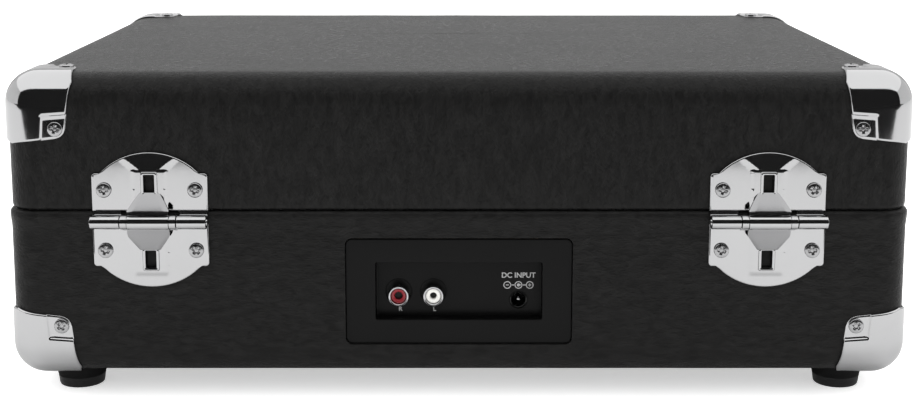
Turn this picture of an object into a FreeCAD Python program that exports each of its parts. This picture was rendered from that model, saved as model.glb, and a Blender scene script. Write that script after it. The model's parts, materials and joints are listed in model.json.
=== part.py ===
import FreeCAD, Part
import math
import os
import re
import Sketcher

# Suitcase record player. The case stands on its feet with its hinges at the back (+Y), its
# latches and handle at the front (-Y), +Z up. The origin is the middle of the box that holds
# the whole object, at the bottom of the feet.
SIZES = {
    # case
    "base_w": 350.6, "base_d": 255.6, "mid_y": 4.46, "foot_z": 10, "seam_z": 76,
    "lid_w": 349.6, "lid_d": 254.6, "lid_z": 76.6, "top_z": 129,
    "edge_r": 12, "skin": 1, "board": 6, "floor_board": 5,
    # corner guards
    "guard_t": 1.1, "guard_leg": 27, "guard_slope": 0.12, "guard_corner_r": 4, "guard_screw": 20.7,
    # fasteners
    "screw_r": 2.9, "screw_head": 1.4, "shank_r": 1.2, "shank": 8,
    # feet
    "foot_x": 153.5, "foot_in": 24, "foot_top_r": 10.5, "foot_low_r": 8.6, "foot_hole_r": 3.6,
    "foot_bevel": 1.5, "foot_well": 4, "foot_bolt_r": 1.6,
    # hinges
    "hinge_x": 118.7, "pin_z": 72.9, "pin_out": 4.5, "pin_r": 1.5, "pin_gap": 0.05,
    "barrel_r": 2.575, "leaf_r": 26.5, "leaf_w": 44.7, "leaf_arc_w": 38.4, "leaf_t": 1.2,
    "knuckle_x": 10.7, "barrel_x": 22.2, "barrel_gap": 0.2, "hinge_screw_x": 17.5,
    "hinge_screw_z": 11.8, "cover_w": 16, "shoulder": 18.3, "cover_reach": 9, "flap_low": 4.3,
    # jack panel
    "panel_w": 88, "panel_low": 23, "panel_high": 65.4, "panel_in": 1.2, "panel_t": 2,
    "window_w": 64.8, "window_low": 32.8, "window_high": 55.5, "window_in": 7.2, "tub_t": 1.5,
    "red_x": 23.6, "white_x": 10, "rca_z": 41.4, "rca_r": 4.15, "rca_bore": 3.4, "rca_out": 4.5,
    "rca_pin_r": 1.6, "rca_hole_r": 5, "dc_x": -23.4, "dc_z": 39, "dc_r": 3, "dc_pin_r": 1,
    "jack_block": 5, "jack_block_d": 13, "board_t": 1.6,
    # latches and handle
    "latch_x": 116, "latch_z": 54, "latch_out": 3.5, "latch_w": 20, "latch_len": 32, "latch_ajar": 5,
    "latch_t": 1.6, "latch_bevel": 3, "lug_z": 81.5, "lug_h": 3, "lug_w": 8, "ear_in": 10.6, "ear_out": 12.6,
    "plate_t": 1.2, "plate_w": 40, "catch_w": 28, "catch_h": 22, "catch_screw_x": 9, "plate_screw_x": 16,
    "handle_x": 48, "handle_z": 50, "handle_out": 8.4, "grip_r": 7.6, "grip_drop": 26, "strap_w": 8.8,
    "strap_t": 7.2, "strap_eye_r": 3.6, "bracket_t": 1.5, "bracket_w": 16, "bracket_h": 34,
    "bracket_screw_z": 13,
    # deck and platter
    "deck_z": 70, "deck_t": 3, "deck_gap": 0.4,
    "spindle_x": -38, "spindle_y": -14, "spindle_r": 3.58, "shaft_r": 3, "bush_r": 6,
    "platter_r": 95, "platter_low": 73.2, "platter_z": 76, "mat_t": 2, "ring_r": 59.7,
    "belt_r": 60, "belt_low": 71, "belt_t": 0.8, "belt_h": 1.8,
    "pulley_x": -86, "pulley_y": 50, "pulley_r": 3.7, "pulley_belt_r": 4,
    "motor_r": 12, "motor_h": 22,
    # tonearm
    "arm_x": 112, "arm_y": 90, "arm_z": 92, "arm_len": 191, "arm_r": 3.5, "arm_base_r": 27,
    "arm_base_z": 74, "lift_r": 22, "lift_w": 3, "stem_in": 7.5, "stem_fore": 20.7, "stem_r": 1.5,
    "ear_x": 9, "ear_t": 2, "axle_r": 1.2, "hub_r": 10,
    "rest_y": -62, "tail": 26, "weight_r": 8,
    "cue_x": 134, "cue_y": 92, "cue_z": 84,
    "clip_x": 118.6, "clip_z": 97.6,
    # controls
    "strip_x": 150, "volume_y": -42, "function_y": -14, "speed_y": 14, "stop_y": 42, "led_y": -62,
    "jack_y": 106, "jack_r": 1.8, "knob_r": 10, "knob_z": 82, "post_x": -136, "post_y": 102,
    "post_r": 3.5, "adapter_r": 14,
    # loudspeakers
    "speaker_x": 134, "speaker_y": -88, "speaker_r": 20, "magnet_r": 14, "slot_pitch": 4.8, "slot_half": 1.1,
}
# Lengths that follow from the driving sizes.
DERIVED = {
    "back": "(mid_y + base_d / 2)", "front": "(mid_y - base_d / 2)",
    "lid_back": "(mid_y + lid_d / 2)", "lid_front": "(mid_y - lid_d / 2)",
    "wall": "(skin + board)", "bay_x": "(base_w / 2 - skin - board)",
    "pin_y": "(mid_y + base_d / 2 + pin_out)", "jack_floor": "(mid_y + base_d / 2 - window_in)",
    "handle_y": "(mid_y - base_d / 2 - handle_out)", "latch_y": "(mid_y - base_d / 2 - latch_out)",
}
Vector = FreeCAD.Vector
AXIS_TURNS = {
    "x": FreeCAD.Rotation(Vector(0, 1, 0), 90),
    "y": FreeCAD.Rotation(Vector(1, 0, 0), -90),
    "z": FreeCAD.Rotation(),
}

doc = FreeCAD.newDocument("record_player")
sheet = doc.addObject("Spreadsheet::Sheet", "Sizes")
for row, (alias, size) in enumerate(SIZES.items(), start=1):
    sheet.set(f"A{row}", alias)
    sheet.set(f"B{row}", str(size))
    sheet.setAlias(f"B{row}", alias)
doc.recompute()
nodes = []


def bound(text):
    """The text of a size as an expression that reads the sheet."""
    word = r"[a-z_]\w*"
    text = re.sub(word, lambda found: DERIVED.get(found.group(), found.group()), str(text))
    return re.sub(word, lambda found: ("Sizes." if found.group() in SIZES else "") + found.group(), text)


def value(text):
    """The present value of a size."""
    return float(sheet.evalExpression(bound(text)))


def bind(thing, name, text):
    thing.setExpression(name, bound(text))


def put(thing, x=0, y=0, z=0, turn=None):
    """Places a thing; its base follows the sheet."""
    if turn is not None:
        thing.Placement.Rotation = turn
    for letter, text in zip("xyz", (x, y, z)):
        bind(thing, f"Placement.Base.{letter}", text)
    return thing


def box(x, y, z):
    """A block between two corners, each range a pair of sizes."""
    block = doc.addObject("Part::Box", "Block")
    for side, (low, high) in zip(("Length", "Width", "Height"), (x, y, z)):
        bind(block, side, f"({high}) - ({low})")
    return put(block, x[0], y[0], z[0])


def rod(radius, length, x, y, z, axis="z"):
    """A cylinder that starts at a point and runs along an axis."""
    thing = doc.addObject("Part::Cylinder", "Rod")
    bind(thing, "Radius", radius)
    bind(thing, "Height", length)
    return put(thing, x, y, z, AXIS_TURNS[axis])


def fuse(*things):
    joined = doc.addObject("Part::MultiFuse", "Joined")
    joined.Shapes = list(things)
    return joined


def cut(base, *tools):
    trimmed = doc.addObject("Part::Cut", "Trimmed")
    trimmed.Base = base
    trimmed.Tool = tools[0] if len(tools) == 1 else group(*tools)
    return trimmed


def common(first, second):
    shared = doc.addObject("Part::Common", "Shared")
    shared.Base = first
    shared.Tool = second
    return shared


def group(*things):
    several = doc.addObject("Part::Compound", "Group")
    several.Links = list(things)
    return several


def mirrored(thing, normal=(1, 0, 0), base=("0", "0", "0")):
    """The thing and its mirror image."""
    image = doc.addObject("Part::Mirroring", "Image")
    image.Source = thing
    image.Normal = Vector(*normal)
    image.Base = Vector(*(value(text) for text in base))
    return group(thing, image)


def four(thing):
    """The thing at all four corners of the case."""
    return mirrored(mirrored(thing), (0, 1, 0), ("0", "mid_y", "0"))


def tube(radius, bore, length, x, y, z, axis="z"):
    return cut(rod(radius, length, x, y, z, axis), rod(bore, length, x, y, z, axis))


def origin_plane(body, role):
    return next(plane for plane in body.Origin.OriginFeatures if plane.Role == role)


def new_sketch(body, role):
    sketch = body.newObject("Sketcher::SketchObject", body.Name + "Sketch")
    sketch.AttachmentSupport = (origin_plane(body, role), [""])
    sketch.MapMode = "FlatFace"
    return sketch


def hold(sketch, index, point, x, y):
    """Ties one end of a sketch line to its place."""
    for kind, text in (("DistanceX", x), ("DistanceY", y)):
        number = sketch.addConstraint(Sketcher.Constraint(kind, -1, 1, index, point, value(text)))
        bind(sketch, f"Constraints[{number}]", text)


def draw_polygon(sketch, corners):
    spots = [Vector(value(x), value(y), 0) for x, y in corners]
    count = len(corners)
    for index in range(count):
        sketch.addGeometry(Part.LineSegment(spots[index], spots[(index + 1) % count]), False)
    for index in range(count):
        sketch.addConstraint(Sketcher.Constraint("Coincident", index, 2, (index + 1) % count, 1))
    for index, (x, y) in enumerate(corners):
        hold(sketch, index, 1, x, y)


def turned(corners, x, y, z):
    """A body turned about its own Z axis from (radius, height) corners."""
    body = doc.addObject("PartDesign::Body", "Turned")
    sketch = new_sketch(body, "XZ_Plane")
    draw_polygon(sketch, corners)
    spin = body.newObject("PartDesign::Revolution", "Spin")
    spin.Profile = sketch
    spin.ReferenceAxis = (sketch, ["V_Axis"])
    spin.Angle = 360
    return put(body, x, y, z)


def plate(corners, role, thickness, x=0, y=0, z=0):
    """A body padded from an outline on one of its origin planes, half to each side."""
    body = doc.addObject("PartDesign::Body", "Plate")
    sketch = new_sketch(body, role)
    draw_polygon(sketch, corners)
    pad = body.newObject("PartDesign::Pad", "Pad")
    pad.Profile = sketch
    bind(pad, "Length", thickness)
    pad.Midplane = True
    return put(body, x, y, z)


def rounded(x, y, z, radius, low_radius=None, high_radius=None):
    """A block whose upright edges are round, and its rims too where a radius is given."""
    body = doc.addObject("PartDesign::Body", "Rounded")
    sketch = new_sketch(body, "XY_Plane")
    draw_polygon(sketch, [(x[0], y[0]), (x[1], y[0]), (x[1], y[1]), (x[0], y[1])])
    pad = body.newObject("PartDesign::Pad", "Pad")
    pad.Profile = sketch
    bind(pad, "Length", f"({z[1]}) - ({z[0]})")
    put(body, 0, 0, z[0])
    doc.recompute()
    round_edges(body, radius, lambda edge: abs(edge.tangentAt(edge.FirstParameter).z) > 0.9)
    height = value(f"({z[1]}) - ({z[0]})")
    if low_radius is not None:
        round_edges(body, low_radius, lambda edge: lies_at(edge, 0))
    if high_radius is not None:
        round_edges(body, high_radius, lambda edge: lies_at(edge, height))
    return body


def lies_at(edge, level):
    return all(abs(corner.Point.z - level) < 1e-4 for corner in edge.Vertexes)


def round_edges(body, radius, chosen):
    base = body.Tip
    names = [f"Edge{number}" for number, edge in enumerate(base.Shape.Edges, 1) if chosen(edge)]
    fillet = body.newObject("PartDesign::Fillet", "Round")
    fillet.Base = (base, names)
    bind(fillet, "Radius", radius)
    doc.recompute()


def node(name, *things):
    """Gives a finished sub-part its name."""
    thing = things[0] if len(things) == 1 else group(*things)
    thing.Label = name
    nodes.append(thing)
    return thing


def screw(x, y, z, axis, sign):
    """A flat-headed screw whose head stands on a surface; sign says which way the head looks."""
    head_start = {1: "0", -1: "0 - screw_head"}[sign]
    shank_start = {1: "0 - shank", -1: "0"}[sign]
    place = {"x": x, "y": y, "z": z}
    parts = []
    for radius, length, start in (("screw_r", "screw_head", head_start), ("shank_r", "shank", shank_start)):
        spot = dict(place)
        spot[axis] = f"({place[axis]}) + ({start})"
        parts.append(rod(radius, length, spot["x"], spot["y"], spot["z"], axis))
    return fuse(*parts)


def half_ranges(width, inset):
    return (f"0 - {width} / 2 + {inset}", f"{width} / 2 - ({inset})")


def depth_range(depth, inset):
    return (f"mid_y - {depth} / 2 + {inset}", f"mid_y + {depth} / 2 - ({inset})")


def case_form(width, depth, inset, low, high, low_radius=None, high_radius=None):
    """The rounded outline of the case, a little way in from its surface."""
    return rounded(half_ranges(width, inset), depth_range(depth, inset), (low, high),
                   f"edge_r - ({inset})", low_radius, high_radius)


def bay(width, depth, low, high):
    """The space inside the boards."""
    return rounded(half_ranges(width, "wall"), depth_range(depth, "wall"), (low, high), "edge_r - wall")


def base_tray():
    skin_form = case_form("base_w", "base_d", "0", "foot_z", "seam_z", "edge_r")
    core_form = case_form("base_w", "base_d", "skin", "foot_z + skin", "seam_z", "edge_r - skin")
    core_copy = case_form("base_w", "base_d", "skin", "foot_z + skin", "seam_z", "edge_r - skin")
    bay_form = bay("base_w", "base_d", "foot_z + skin", "seam_z")
    recess = box(("0 - panel_w / 2 - 0.3", "panel_w / 2 + 0.3"), ("back - panel_in - panel_t", "back + 1"),
                 ("panel_low - 0.3", "panel_high + 0.3"))
    tunnel = box(("0 - window_w / 2 - tub_t - 0.1", "window_w / 2 + tub_t + 0.1"), ("back - 20", "back + 1"),
                 ("window_low - tub_t - 0.1", "window_high + tub_t + 0.1"))
    openings = fuse(recess, tunnel)
    node("base_leatherette", cut(cut(skin_form, core_form), openings))
    node("base_frame", cut(cut(core_form, bay_form), openings))
    floor = box(half_ranges("base_w", "wall"), depth_range("base_d", "wall"),
                ("foot_z + skin", "foot_z + skin + floor_board"))
    node("base_bottom_panel", common(common(core_copy, bay_form), floor))


def lid_shell():
    skin_form = case_form("lid_w", "lid_d", "0", "lid_z", "top_z", None, "edge_r")
    core_form = case_form("lid_w", "lid_d", "skin", "lid_z", "top_z - skin", None, "edge_r - skin")
    core_copy = case_form("lid_w", "lid_d", "skin", "lid_z", "top_z - skin", None, "edge_r - skin")
    bay_form = bay("lid_w", "lid_d", "lid_z", "top_z - skin")
    node("lid_leatherette", cut(skin_form, core_form))
    node("lid_frame", cut(core_form, bay_form))
    top = box(half_ranges("lid_w", "wall"), depth_range("lid_d", "wall"), ("top_z - wall", "top_z - skin"))
    node("lid_top_panel", common(common(core_copy, bay_form), top))
    outer = bay("lid_w", "lid_d", "lid_z + 2", "top_z - wall")
    inner = rounded(half_ranges("lid_w", "wall + 0.6"), depth_range("lid_d", "wall + 0.6"),
                    ("lid_z + 2", "top_z - wall - 0.6"), "edge_r - wall - 0.6")
    node("lid_lining", cut(outer, inner))


def guard_shape():
    """One corner guard: a thin shell round a case corner that sits at the origin, the case
    towards +X, +Y and +Z, trimmed by three leaning planes."""
    reach = 60
    thickness, edge_r = value("guard_t"), value("edge_r")
    corner_r, leg, slope = value("guard_corner_r"), value("guard_leg"), value("guard_slope")

    def corner_block(offset, radius):
        start = Vector(-offset, -offset, -offset)
        block = Part.makeBox(reach + offset, reach + offset, reach + offset, start)
        edges = [edge for edge in block.Edges
                 if any(corner.Point.distanceToPoint(start) < 1e-6 for corner in edge.Vertexes)]
        return block.makeFillet(radius, edges)

    region = Part.makeBox(reach, reach, reach, Vector(-5, -5, -5))
    for turn in range(3):
        normal = Vector(*[(1, slope, slope)[(axis - turn) % 3] for axis in range(3)])
        beyond = Part.makeBox(4 * reach, 4 * reach, 4 * reach, Vector(-2 * reach, -2 * reach, 0))
        beyond.Placement = FreeCAD.Placement(normal * (leg / normal.dot(normal)),
                                             FreeCAD.Rotation(Vector(0, 0, 1), normal))
        region = region.cut(beyond)
    inward = region.BoundBox.XMax
    ridges = []
    for edge in region.Edges:
        middle = edge.valueAt((edge.FirstParameter + edge.LastParameter) / 2)
        coordinates = sorted((middle.x, middle.y, middle.z))
        if coordinates[1] > 0.7 * inward and coordinates[0] < 0.6 * inward and coordinates[0] > -4.9:
            ridges.append(edge)
    region = region.makeFillet(corner_r, ridges)
    shell = corner_block(thickness, edge_r + thickness).cut(corner_block(0, edge_r))
    return shell.common(region)


def place_guards(name, width, depth, level, upside_down):
    """Four guards, one on each corner of the base's underside or of the lid's top."""
    guard = guard_shape()
    if upside_down:
        guard = guard.mirror(Vector(0, 0, 0), Vector(0, 0, 1))
    guard.translate(Vector(-value(width) / 2, value("mid_y") - value(depth) / 2, value(level)))
    pair = [guard, guard.mirror(Vector(0, 0, 0), Vector(1, 0, 0))]
    others = [one.mirror(Vector(0, value("mid_y"), 0), Vector(0, 1, 0)) for one in pair]
    thing = doc.addObject("Part::Feature", name)
    thing.Shape = Part.makeCompound(pair + others)
    thing.Placement = FreeCAD.Placement()
    node(name, thing)


def guard_screws(width, depth, level, up):
    """The screws of one corner guard, at all four corners. Under the base the foot's own screw
    holds the third flange."""
    side = 1 if up else -1
    x_in = f"{width} / 2 - guard_screw"
    y_in = f"mid_y + {depth} / 2 - guard_screw"
    z_in = f"{level} - ({side}) * guard_screw"
    screws = [screw(f"{width} / 2 + guard_t", y_in, z_in, "x", 1),
              screw(x_in, f"mid_y + {depth} / 2 + guard_t", z_in, "y", 1)]
    if up:
        screws.append(screw(x_in, y_in, f"{level} + guard_t", "z", 1))
    return four(group(*screws))


def hinge_screws(face, direction):
    level = f"pin_z + ({direction}) * hinge_screw_z"
    pair = group(*[screw(f"hinge_x + ({side}) * hinge_screw_x", f"{face} + leaf_t", level, "y", 1)
                   for side in (-1, 1)])
    return mirrored(pair)


def case_screws():
    front_level = "latch_z - 1"
    latch = group(*[screw(f"latch_x + ({side}) * plate_screw_x", "front - plate_t", front_level, "y", -1)
                    for side in (-1, 1)])
    handle = group(*[screw("handle_x", "front - bracket_t", f"handle_z + ({side}) * bracket_screw_z", "y", -1)
                     for side in (-1, 1)])
    node("base_case_screws", guard_screws("base_w", "base_d", "foot_z", False), hinge_screws("back", -1),
         mirrored(latch), mirrored(handle))
    catch = group(*[screw(f"latch_x + ({side}) * catch_screw_x", "lid_front - plate_t", "lid_z + 17.4", "y", -1)
                    for side in (-1, 1)])
    node("lid_case_screws", guard_screws("lid_w", "lid_d", "top_z", True), hinge_screws("lid_back", 1),
         mirrored(catch))


def feet():
    profile = [("foot_hole_r", "0"), ("foot_low_r - foot_bevel", "0"), ("foot_low_r", "foot_bevel"),
               ("foot_top_r", "foot_z - guard_t"), ("foot_bolt_r", "foot_z - guard_t"),
               ("foot_bolt_r", "foot_well"), ("foot_hole_r", "foot_well")]
    node("rubber_feet", four(turned(profile, "foot_x", "back - foot_in", "0")))
    head = rod("foot_hole_r - 0.5", "1.6", "foot_x", "back - foot_in", "foot_well - 1.6")
    shank = rod("foot_bolt_r - 0.2", "10", "foot_x", "back - foot_in", "foot_well")
    node("foot_screws", four(fuse(head, shank)))


def leaf(face, arc_range, shoulder_range):
    """Half of a hinge's outline: a round plate between two levels, with square shoulders."""
    depth = (face, f"{face} + leaf_t")
    disc = rod("leaf_r", "leaf_t", "hinge_x", face, "pin_z", "y")
    inside = box(("hinge_x - leaf_arc_w / 2", "hinge_x + leaf_arc_w / 2"), depth, arc_range)
    shoulders = box(("hinge_x - leaf_w / 2", "hinge_x + leaf_w / 2"), depth, shoulder_range)
    return fuse(common(disc, inside), shoulders)


def hinges():
    bore = rod("pin_r + pin_gap", "60", "hinge_x - 30", "pin_y", "pin_z", "x")
    base_barrel = rod("barrel_r", "2 * knuckle_x", "hinge_x - knuckle_x", "pin_y", "pin_z", "x")
    base_web = box(("hinge_x - knuckle_x", "hinge_x + knuckle_x"), ("back", "pin_y"), ("pin_z - 4.4", "pin_z"))
    cover = box(("hinge_x - cover_w / 2", "hinge_x + cover_w / 2"), ("back", "pin_y - 0.5"),
                ("pin_z - cover_reach", "pin_z"))
    base_plate = leaf("back", ("pin_z - leaf_r", "pin_z - 1"), ("pin_z - shoulder", "pin_z - 1"))
    base_leaf = fuse(base_plate, base_barrel, base_web, cover)
    node("hinge_base_leaves", mirrored(cut(base_leaf, bore)))
    pieces = [leaf("lid_back", ("lid_z + 0.6", "pin_z + leaf_r"), ("lid_z + 0.6", "pin_z + shoulder"))]
    for low, high in (("0 - barrel_x", "0 - knuckle_x - barrel_gap"), ("knuckle_x + barrel_gap", "barrel_x")):
        start, end = f"hinge_x + {low}", f"hinge_x + {high}"
        pieces.append(rod("barrel_r", f"({end}) - ({start})", start, "pin_y", "pin_z", "x"))
        pieces.append(box((start, end), ("back + 0.5", "pin_y"), ("pin_z + 0.6", "pin_z + 4.8")))
    pieces.append(box(("hinge_x - cover_w / 2", "hinge_x + cover_w / 2"), ("lid_back", "pin_y - 1"),
                      ("pin_z + flap_low", "pin_z + cover_reach")))
    lid_bore = rod("pin_r + pin_gap", "60", "hinge_x - 30", "pin_y", "pin_z", "x")
    node("hinge_lid_leaves", mirrored(cut(fuse(*pieces), lid_bore)))
    pin = rod("pin_r", "2 * barrel_x + 1", "hinge_x - barrel_x - 0.5", "pin_y", "pin_z", "x")
    node("hinge_pins", mirrored(pin))


def jack_panel():
    face = rounded(("0 - panel_w / 2", "panel_w / 2"), ("back - panel_in - panel_t", "back - panel_in"),
                   ("panel_low", "panel_high"), "0.9")
    tub = box(("0 - window_w / 2 - tub_t", "window_w / 2 + tub_t"),
              ("jack_floor - tub_t", "back - panel_in - 1"), ("window_low - tub_t", "window_high + tub_t"))
    hollow = box(("0 - window_w / 2", "window_w / 2"), ("jack_floor", "back"), ("window_low", "window_high"))
    holes = [rod("rca_hole_r", "10", x, "jack_floor - 5", "rca_z", "y") for x in ("red_x", "white_x")]
    holes.append(rod("dc_r + 0.4", "10", "dc_x", "jack_floor - 5", "dc_z", "y"))
    node("jack_panel", cut(fuse(face, tub), hollow, *holes))
    rear = "jack_floor - tub_t"
    board_face = f"{rear} - jack_block_d"
    node("jack_board", box(("0 - window_w / 2", "window_w / 2"), (f"{board_face} - board_t", board_face),
                           ("window_low - 2", "window_high + 2")))
    for name, x in (("rca_insert_red", "red_x"), ("rca_insert_white", "white_x")):
        plug_hole = rod("rca_pin_r", "20", x, "jack_floor - 5", "rca_z", "y")
        ring = rod("rca_bore", "rca_out + 1.1", x, f"{rear} - 0.1", "rca_z", "y")
        block = box((f"{x} - jack_block", f"{x} + jack_block"), (board_face, f"{rear} - 0.1"),
                    ("rca_z - jack_block - 1", "rca_z + jack_block + 1"))
        node(name, cut(fuse(ring, block), plug_hole))
    shells = [tube("rca_r", "rca_bore", "rca_out", x, "jack_floor", "rca_z", "y") for x in ("red_x", "white_x")]
    node("rca_shells", *shells)
    body = box(("dc_x - jack_block", "dc_x + jack_block"), (board_face, f"{rear} - 0.1"),
               ("dc_z - jack_block - 1", "dc_z + jack_block + 1"))
    nose = rod("dc_r", "tub_t", "dc_x", f"{rear} - 0.1", "dc_z", "y")
    socket = rod("dc_r - 0.5", "14", "dc_x", f"{rear} - 10", "dc_z", "y")
    pin = rod("dc_pin_r", "11", "dc_x", f"{rear} - 11", "dc_z", "y")
    node("dc_jack", fuse(cut(fuse(body, nose), socket), pin))


def latches():
    base_plate = box(("latch_x - plate_w / 2", "latch_x + plate_w / 2"), ("front - plate_t", "front"),
                     ("latch_z - 6", "seam_z - 3"))
    ears = [box((f"latch_x + {low}", f"latch_x + {high}"), ("latch_y - 2.2", "front - plate_t"),
                ("latch_z - 2.5", "latch_z + 2.5"))
            for low, high in (("(0 - ear_out)", "(0 - ear_in)"), ("ear_in", "ear_out"))]
    pin = rod("1", "2 * ear_out", "latch_x - ear_out", "latch_y", "latch_z", "x")
    node("latch_plates", mirrored(fuse(base_plate, *ears, pin)))
    catch = box(("latch_x - catch_w / 2", "latch_x + catch_w / 2"), ("lid_front - plate_t", "lid_front"),
                ("lid_z + 1.5", "lid_z + catch_h"))
    lug = box(("latch_x - lug_w / 2", "latch_x + lug_w / 2"), ("lid_front - 4", "lid_front - 1"),
              ("lug_z", "lug_z + lug_h"))
    node("latch_catches", mirrored(fuse(catch, lug)))
    for name, x in (("latch_lever_left", "latch_x"), ("latch_lever_right", "0 - latch_x")):
        outline = [("0 - latch_w / 2", "0"), ("latch_w / 2", "0"), ("latch_w / 2", "latch_len - latch_bevel"),
                   ("latch_w / 2 - latch_bevel", "latch_len"), ("latch_bevel - latch_w / 2", "latch_len"),
                   ("0 - latch_w / 2", "latch_len - latch_bevel")]
        body = plate(outline, "XZ_Plane", "latch_t")
        eye = rod("1.9", "latch_w", "0 - latch_w / 2", "0", "0", "x")
        window = box(("0 - lug_w / 2 - 1.5", "lug_w / 2 + 1.5"), ("0 - 5", "5"),
                     ("lug_z - latch_z - 2", "lug_z + lug_h - latch_z + 1"))
        bore = rod("1.06", "40", "0 - 20", "0", "0", "x")
        lever = cut(fuse(body, eye), window, bore)
        turn = FreeCAD.Rotation(Vector(1, 0, 0), value("latch_ajar"))
        node(name, put(lever, x, "latch_y", "latch_z", turn))


def handle():
    plate_box = box(("handle_x - bracket_w / 2", "handle_x + bracket_w / 2"), ("front - bracket_t", "front"),
                    ("handle_z - bracket_h / 2", "handle_z + bracket_h / 2"))
    lugs = [box((f"handle_x + ({low})", f"handle_x + ({high})"), ("handle_y - 3", "front - bracket_t"),
                ("handle_z - 4", "handle_z + 4")) for low, high in (("0 - 7", "0 - 5"), ("5", "7"))]
    pin = rod("2", "14", "handle_x - 7", "handle_y", "handle_z", "x")
    node("handle_brackets", mirrored(fuse(plate_box, *lugs, pin)))
    grip = rod("grip_r", "2 * handle_x - 4", "2 - handle_x", "handle_y", "handle_z - grip_drop", "x")
    arm = box(("handle_x - strap_w / 2", "handle_x + strap_w / 2"),
              ("handle_y - strap_t / 2", "handle_y + strap_t / 2"), ("handle_z - grip_drop - 4", "handle_z"))
    eye = rod("strap_eye_r", "strap_w", "handle_x - strap_w / 2", "handle_y", "handle_z", "x")
    sides = mirrored(fuse(arm, eye))
    bore = rod("2.07", "2 * handle_x + 40", "0 - handle_x - 20", "handle_y", "handle_z", "x")
    node("handle_grip", cut(fuse(grip, sides), bore))


def deck():
    slab = rounded(half_ranges("base_w", "wall + deck_gap"), depth_range("base_d", "wall + deck_gap"),
                   ("deck_z - deck_t", "deck_z"), "edge_r - wall - deck_gap")
    under = "deck_z - deck_t - 1"
    holes = [rod("bush_r", "10", "spindle_x", "spindle_y", under),
             rod("7", "10", "pulley_x", "pulley_y", under),
             rod("3.4", "10", "arm_x", "arm_y", under), rod("jack_r + 2.2", "10", "strip_x", "jack_y", under),
             rod("2.6", "10", "strip_x", "led_y", under)]
    holes += [rod("3.4", "10", "strip_x", y, under) for y in ("volume_y", "function_y")]
    holes += [box(("strip_x - 2.5", "strip_x + 2.5"), (f"{y} - 9", f"{y} + 9"), (under, "deck_z + 1"))
              for y in ("speed_y", "stop_y")]
    holes += [rod("speaker_r + 0.2", "10", x, "speaker_y", under) for x in ("speaker_x", "0 - speaker_x")]
    post = rod("post_r", "12", "post_x", "post_y", "deck_z - 1")
    node("deck_plate", fuse(cut(slab, *holes), post))
    spots = [("bay_x - 8", "back - wall - 8"), ("bay_x - 6", "0 - 29"), ("74", "front + wall + 7")]
    blocks = [box((f"{x} - 6", f"{x} + 6"), (f"{y} - 6", f"{y} + 6"), ("foot_z + wall - 1", "deck_z - deck_t"))
              for x, y in spots]
    node("deck_blocks", mirrored(group(*blocks)))
    node("deck_screws", mirrored(group(*[screw(x, y, "deck_z", "z", 1) for x, y in spots])))


def turntable():
    ring = tube("ring_r", "ring_r - 2.5", "platter_low - belt_low + 0.2",
                "spindle_x", "spindle_y", "belt_low - 0.2")
    profile = [("shaft_r", "0"), ("platter_r - 2.5", "0"), ("platter_r - 2.5", "0 - 2"),
               ("platter_r", "0 - 2"),
               ("platter_r", "2.2"), ("platter_r - 0.6", "2.8"), ("shaft_r", "2.8")]
    disc = turned(profile, "spindle_x", "spindle_y", "platter_low")
    node("platter", fuse(disc, ring))
    mat = [("4.2", "0"), ("platter_r - 2", "0"), ("platter_r - 2", "mat_t - 0.4"),
           ("platter_r - 2.6", "mat_t"), ("4.2", "mat_t")]
    node("slip_mat", turned(mat, "spindle_x", "spindle_y", "platter_z"))
    spindle = [("0", "46"), ("shaft_r - 0.4", "46"), ("shaft_r - 0.4", "50"), ("shaft_r", "50"),
               ("shaft_r", "platter_z"), ("spindle_r", "platter_z"), ("spindle_r", "86"), ("1.6", "89"), ("0", "89")]
    node("spindle", turned(spindle, "spindle_x", "spindle_y", "0"))
    bush = [("shaft_r + pin_gap", "54"), ("bush_r - 1", "54"), ("bush_r - 1", "deck_z - deck_t - 0.2"),
            ("bush_r + 4", "deck_z - deck_t - 0.2"), ("bush_r + 4", "deck_z - deck_t"),
            ("bush_r", "deck_z - deck_t"), ("bush_r", "deck_z + 0.6"), ("shaft_r + pin_gap", "deck_z + 0.6")]
    node("spindle_bush", turned(bush, "spindle_x", "spindle_y", "0"))
    pulley = [("0.9", "0"), ("pulley_r + 1", "0"), ("pulley_r + 1", "0.5"), ("pulley_r", "0.8"),
              ("pulley_r", "3"), ("0.9", "3")]
    shaft = rod("1", "8.8", "pulley_x", "pulley_y", "belt_low - 7")
    node("motor_pulley", fuse(turned(pulley, "pulley_x", "pulley_y", "belt_low - 1.2"), shaft))
    can = rod("motor_r", "motor_h", "pulley_x", "pulley_y", "deck_z - deck_t - motor_h")
    well = rod("1.06", "10", "pulley_x", "pulley_y", "deck_z - deck_t - 8")
    node("motor_can", cut(can, well))


def belt_loop(extra):
    """A flat face inside a belt line that runs round the ring and the pulley."""
    big = Vector(value("spindle_x"), value("spindle_y"), value("belt_low"))
    small = Vector(value("pulley_x"), value("pulley_y"), value("belt_low"))
    radii = (value("belt_r") + extra, value("pulley_belt_r") + extra)
    along = small - big
    lean = math.acos((radii[0] - radii[1]) / along.Length)
    heading = math.atan2(along.y, along.x)

    def spot(centre, radius, angle):
        return centre + Vector(math.cos(angle), math.sin(angle), 0) * radius

    upper, lower = heading + lean, heading - lean
    around = Part.Arc(spot(big, radii[0], upper), spot(big, radii[0], heading + math.pi),
                      spot(big, radii[0], lower))
    round_pulley = Part.Arc(spot(small, radii[1], lower), spot(small, radii[1], heading),
                            spot(small, radii[1], upper))
    sides = [Part.LineSegment(spot(big, radii[0], lower), spot(small, radii[1], lower)),
             Part.LineSegment(spot(small, radii[1], upper), spot(big, radii[0], upper))]
    return Part.Face(Part.Wire([edge.toShape() for edge in (around, sides[0], round_pulley, sides[1])]))


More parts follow.
